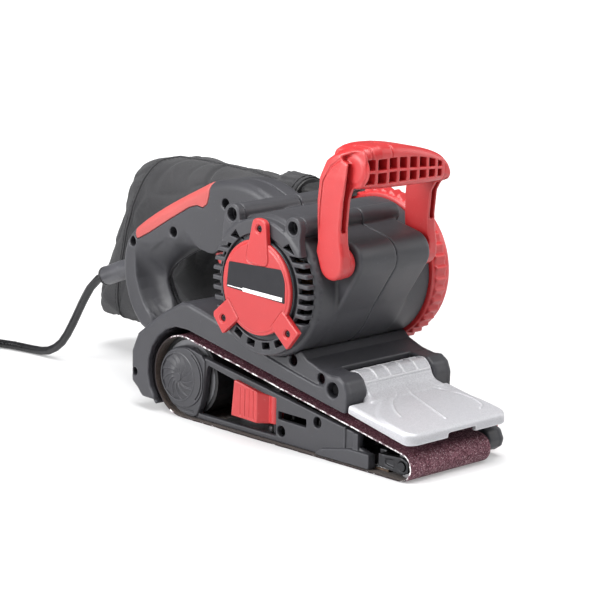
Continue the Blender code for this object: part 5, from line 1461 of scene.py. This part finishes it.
for row, size in zip(rows, sizes):
    ring = []
    for i in range(around):
        t = 2 * math.pi * i / around
        c, s = math.cos(t), math.sin(t)
        power = 2.7 + 2.3 * max(0.0, s) * min(1.0, max(0.0, (-104 - row.x) / 40))
        k = (abs(c) ** power + abs(s) ** power) ** (-1 / power)
        ring.append(bm.verts.new((row.x * MM, (row.y + (size.y - 1.5) * k * c) * MM, (row.z + (size.z - 1.5) * k * s) * MM)))
    rings.append(ring)
for a, b in zip(rings, rings[1:]):
    for i in range(around):
        bm.faces.new((a[i], a[(i + 1) % around], b[(i + 1) % around], b[i]))
bm.faces.new(rings[0])
bm.faces.new(rings[-1][::-1])
bmesh.ops.recalc_face_normals(bm, faces=bm.faces)
mesh = bpy.data.meshes.new("dust_sack")
bm.to_mesh(mesh)
bm.free()
sack = bpy.data.objects.new("dust_sack", mesh)
scene.collection.objects.link(sack)


def bake(ob):
    made = bpy.data.meshes.new_from_object(ob.evaluated_get(bpy.context.evaluated_depsgraph_get()))
    ob.modifiers.clear()
    ob.data = made
    return made


mod = sack.modifiers.new("remesh", "REMESH")
mod.mode, mod.voxel_size = "VOXEL", 0.0050
bake(sack)
start = np.array([v.co for v in sack.data.vertices])
group = sack.vertex_groups.new(name="held")
for v in sack.data.vertices:
    x = v.co.x / MM
    hold = 1.0 if x > -104 else max(0.0, 1.0 - (-104 - x) / 14) * 0.8
    if hold > 0:
        group.add([v.index], hold, "REPLACE")
mod = sack.modifiers.new("cloth", "CLOTH")
mod.settings.vertex_group_mass = "held"
mod.settings.quality, mod.settings.mass = 6, 0.15
mod.settings.tension_stiffness, mod.settings.compression_stiffness, mod.settings.bending_stiffness = 18, 10, 0.6
mod.settings.use_pressure, mod.settings.uniform_pressure_force = True, 3.0
mod.settings.effector_weights.gravity = 0.0
mod.settings.shrink_min = -0.035
mod.point_cache.frame_start, mod.point_cache.frame_end = 1, 18
for step in range(1, 19):
    scene.frame_set(step)
bake(sack)
scene.frame_set(1)
moved = np.array([v.co for v in sack.data.vertices]) - start
far = np.linalg.norm(moved, axis=1, keepdims=True)
moved = moved * np.minimum(1.0, 0.0045 / np.maximum(far, 1e-9))
sack.data.vertices.foreach_set("co", (start + moved).astype(np.float32).ravel())
mod = sack.modifiers.new("finer", "SUBSURF")
mod.levels = mod.render_levels = 2
bake(sack)
# soft folds that run down from the top seam and in from the neck
co = np.empty(len(sack.data.vertices) * 3, np.float32)
no = np.empty_like(co)
sack.data.vertices.foreach_get("co", co)
sack.data.vertices.foreach_get("normal", no)
co, no = co.reshape(-1, 3), no.reshape(-1, 3)
fold = np.empty(len(co), np.float32)
for i, p in enumerate(co):
    x, y, z = (float(v) / MM for v in p)
    near_neck = math.exp(-max(0.0, -110 - x) / 30)
    ang = math.atan2(z - 120, y - 70)
    broad = noise.noise((x * 0.021, y * 0.030, z * 0.011 + 3.0)) * 2.0
    crease = 1 - abs(noise.noise((x * 0.024 + z * 0.014, y * 0.02 + 9.0, z * 0.006)))
    tuck = abs((x + 182.3) * 0.84 + (z - 159.5) * 0.546)
    tuck = math.exp(-((tuck / 1.7) ** 2)) * min(1.0, max(0.0, (z - 112) / 18)) if y < 80 else 0.0
    crumple = 0.5 * noise.noise((x * 0.055 + 1.0, y * 0.07, z * 0.045 + 7.0))
    crumple -= 0.75 * max(0.0, 1 - 8.0 * abs(noise.noise((x * 0.040 - z * 0.026, y * 0.032 + 2.0, z * 0.030 + 4.0)))) ** 1.5
    fold[i] = broad + 1.5 * crease ** 5 - 0.9 + near_neck * 0.9 * math.sin(ang * 11 + 0.06 * x) - 2.2 * tuck + crumple
hold = np.clip((-100.5 - co[:, 0] / MM) / 8, 0, 1)
co = co + no * (fold * hold * MM)[:, None]
co[:, 2] = np.maximum(co[:, 2], 0.014)
sack.data.vertices.foreach_set("co", co.ravel())
sack.data.materials.clear()
sack.data.materials.append(M["fabric"])
sack.data.shade_smooth()
dress(sack, "bag", ("dust_bag",))

# seams: a welt along the top and bottom, one round the end panel, and rows of stitches beside them
tree = BVHTree.FromObject(sack, bpy.context.evaluated_depsgraph_get())


def on_sack(origin, direction):
    hit, normal, _, _ = tree.ray_cast(Vector(origin) * MM, Vector(direction))
    if hit is None:
        return None
    return hit / MM, normal


def axis_at(x):
    xs = [-b[0] for b in BAG]
    return float(np.interp(-x, xs, [b[1] for b in BAG])), float(np.interp(-x, xs, [b[2] for b in BAG]))


welts, dashes = [], []


def seam(points, closed=False, rows_of=(-2.6, 2.6)):
    pts = [p for p in points if p is not None]
    if len(pts) < 4:
        return
    welts.append(sweep([p + n * 0.1 for p, n in pts], 0.85, 8, closed))
    for off in rows_of:
        for i in range(0, len(pts) - 1, 2):
            (p, n), (q, m) = pts[i], pts[i + 1]
            t = (q - p).normalized()
            side = n.cross(t).normalized() * off
            ends = []
            for at in (p + t * 0.2, p + t * 2.2):
                hit = tree.find_nearest((at + side) * MM)
                ends.append(hit[0] / MM + hit[1] * 0.10)
            mid = (ends[0] + ends[1]) / 2 + n * 0.22
            dashes.append(sweep([ends[0], mid, ends[1]], [0.14, 0.24, 0.14], 6))


top = [on_sack((x, axis_at(x)[0], axis_at(x)[1]), (0, 0, 1)) for x in np.arange(-106, -252, -1.6)]
bottom = [on_sack((x, axis_at(x)[0], axis_at(x)[1]), (0, 0, -1)) for x in np.arange(-112, -298, -1.6)]
panel = []
for i in range(230):
    a = 2 * math.pi * i / 230
    panel.append(on_sack((-252.0, 76, 85), (0.33 * math.sin(a), math.cos(a), math.sin(a))))
neck_seam = []
for i in range(80):
    a = 2 * math.pi * i / 80
    cy, cz = axis_at(-107)
    neck_seam.append(on_sack((-107, cy, cz), (0, math.cos(a), math.sin(a))))
seam(top)
seam(bottom)
seam(panel, True)
seam(neck_seam, True, (-2.2,))
wv, wf = merged(welts)
mesh_object("sack_welts", wv, wf, M["fabric"], "bag", ())
dv, df = merged(dashes)
mesh_object("sack_stitches", dv, df, M["thread"], "bag", ())
# gathered neck drawn over the ring, with an elastic at its mouth
neck_v, neck_f = [], []
turns = 144
steps = [(-79.9, 17.75, 0.0), (-79.9, 18.3, 0.05), (-81.0, 18.6, 0.12), (-82.2, 18.5, 0.15), (-83.2, 18.3, 0.15), (-84.6, 18.3, 0.15), (-85.8, 18.6, 0.3), (-88.0, 19.0, 0.5), (-91.0, 19.3, 0.65), (-95.0, 19.8, 0.7), (-99.0, 20.6, 0.7), (-103.0, 21.3, 0.6), (-103.4, 17.8, 0.0)]
for x, r, ruffle in steps:
    for i in range(turns):
        a = 2 * math.pi * i / turns
        rr = r + ruffle * (0.6 * math.sin(19 * a + 0.05 * x) + 0.4 * math.sin(31 * a + 1.3))
        lean = 0.16 * max(0.0, -88.0 - x)
        neck_v.append((x + 0.25 * ruffle * math.sin(19 * a), SPIGOT_Y + lean * 1.1 + rr * math.cos(a), SPIGOT_Z - lean + rr * math.sin(a)))
for k in range(len(steps)):
    j = (k + 1) % len(steps)
    for i in range(turns):
        m = (i + 1) % turns
        neck_f.append((k * turns + i, k * turns + m, j * turns + m, j * turns + i))
mesh_object("sack_neck", neck_v, neck_f, M["fabric"], "bag", ())
hem = []
for i in range(120):
    a = 2 * math.pi * i / 120
    r = 18.55 + 0.12 * math.sin(a * 19)
    hem.append(Vector((-83.9, SPIGOT_Y + r * math.cos(a), SPIGOT_Z + r * math.sin(a))))
hv, hf = sweep(hem, 0.7, 8, True)
mesh_object("sack_elastic", hv, hf, M["fabric"], "bag", ())

# ---------------------------------------------------------------------------
# CAD pieces that stay as they are
# ---------------------------------------------------------------------------
STAY = {
    "drum_sleeve": "rubber", "drum_core": "iron", "drum_shaft": "steel", "drum_bearing_near": "steel", "drum_bearing_far": "steel",
    "driven_pulley": "black_plastic", "front_roller": "steel", "roller_axle": "dark_screw", "lever_pin": "dark_screw", "platen_pad": "cork", "platen": "steel",
    # the cover hinge pin takes the near-black finish as painted shade in its recess
    "cover_hinge_pin": "shadow_black", "handle_pivot_near": "steel", "handle_pivot_far": "steel", "switch_module": "black_plastic", "cord_clamp": "black_plastic",
    "stator": "iron", "armature_core": "iron", "armature_shaft": "steel", "commutator": "copper", "cooling_fan": "black_plastic", "bearing_near": "steel",
    "bearing_far": "steel", "drive_pulley": "steel", "brush_holder_upper": "black_plastic", "brush_holder_lower": "black_plastic",
    "carbon_brush_upper": "graphite", "carbon_brush_lower": "graphite", "drive_belt": "rubber",
}
for name, kind in STAY.items():
    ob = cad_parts[name]
    ob.data.materials.clear()
    ob.data.materials.append(M[kind])

# ---------------------------------------------------------------------------
# floor, world and lights
# ---------------------------------------------------------------------------
bm = bmesh.new()
bmesh.ops.create_grid(bm, x_segments=1, y_segments=1, size=30.0)
mesh = bpy.data.meshes.new("floor")
bm.to_mesh(mesh)
bm.free()
floor = bpy.data.objects.new("floor", mesh)
scene.collection.objects.link(floor)
floor.location.z = -0.0002
f = Finish("floor", rough=0.62)
f.bsdf.inputs["Specular IOR Level"].default_value = 0.25
f.bsdf.inputs["Emission Color"].default_value = (1.0, 1.0, 1.0, 1)
far = f.tree.nodes.new("ShaderNodeVectorMath")
far.operation = "LENGTH"
f.put(far.inputs[0], f.where)
f.put(f.bsdf.inputs["Emission Strength"], f.span(far.outputs["Value"], 0.35, 1.5, 0.28, 0.95))
f.done(f.mix(f.span(f.noise(3, 3), 0.3, 0.7, 0, 1), (0.49, 0.49, 0.495), (0.52, 0.52, 0.525)))
mesh.materials.append(f.mat)

world = bpy.data.worlds.new("studio")
scene.world = world
world.use_nodes = True
world.node_tree.nodes["Background"].inputs["Color"].default_value = (1.0, 1.0, 1.0, 1)
world.node_tree.nodes["Background"].inputs["Strength"].default_value = 0.20


def area(name, at, aim, size, power, colour=(1, 1, 1), size_y=None):
    data = bpy.data.lights.new(name, "AREA")
    data.energy, data.color, data.shape, data.size = power, colour, "RECTANGLE", size
    data.size_y = size_y or size
    ob = bpy.data.objects.new(name, data)
    scene.collection.objects.link(ob)
    ob.location = at
    ob.rotation_euler = (Vector(aim) - Vector(at)).to_track_quat("-Z", "Y").to_euler()
    return ob


area("key", (-0.72, -1.86, 0.95), (-0.04, 0.0, 0.08), 1.2, 64)
area("top", (0.16, -0.05, 2.0), (-0.02, 0.0, 0.05), 1.4, 59)
area("fill", (1.30, -0.35, 1.75), (0.0, 0.0, 0.12), 1.0, 15)
area("back", (0.80, 1.85, 0.85), (-0.06, 0.0, 0.08), 1.1, 13)
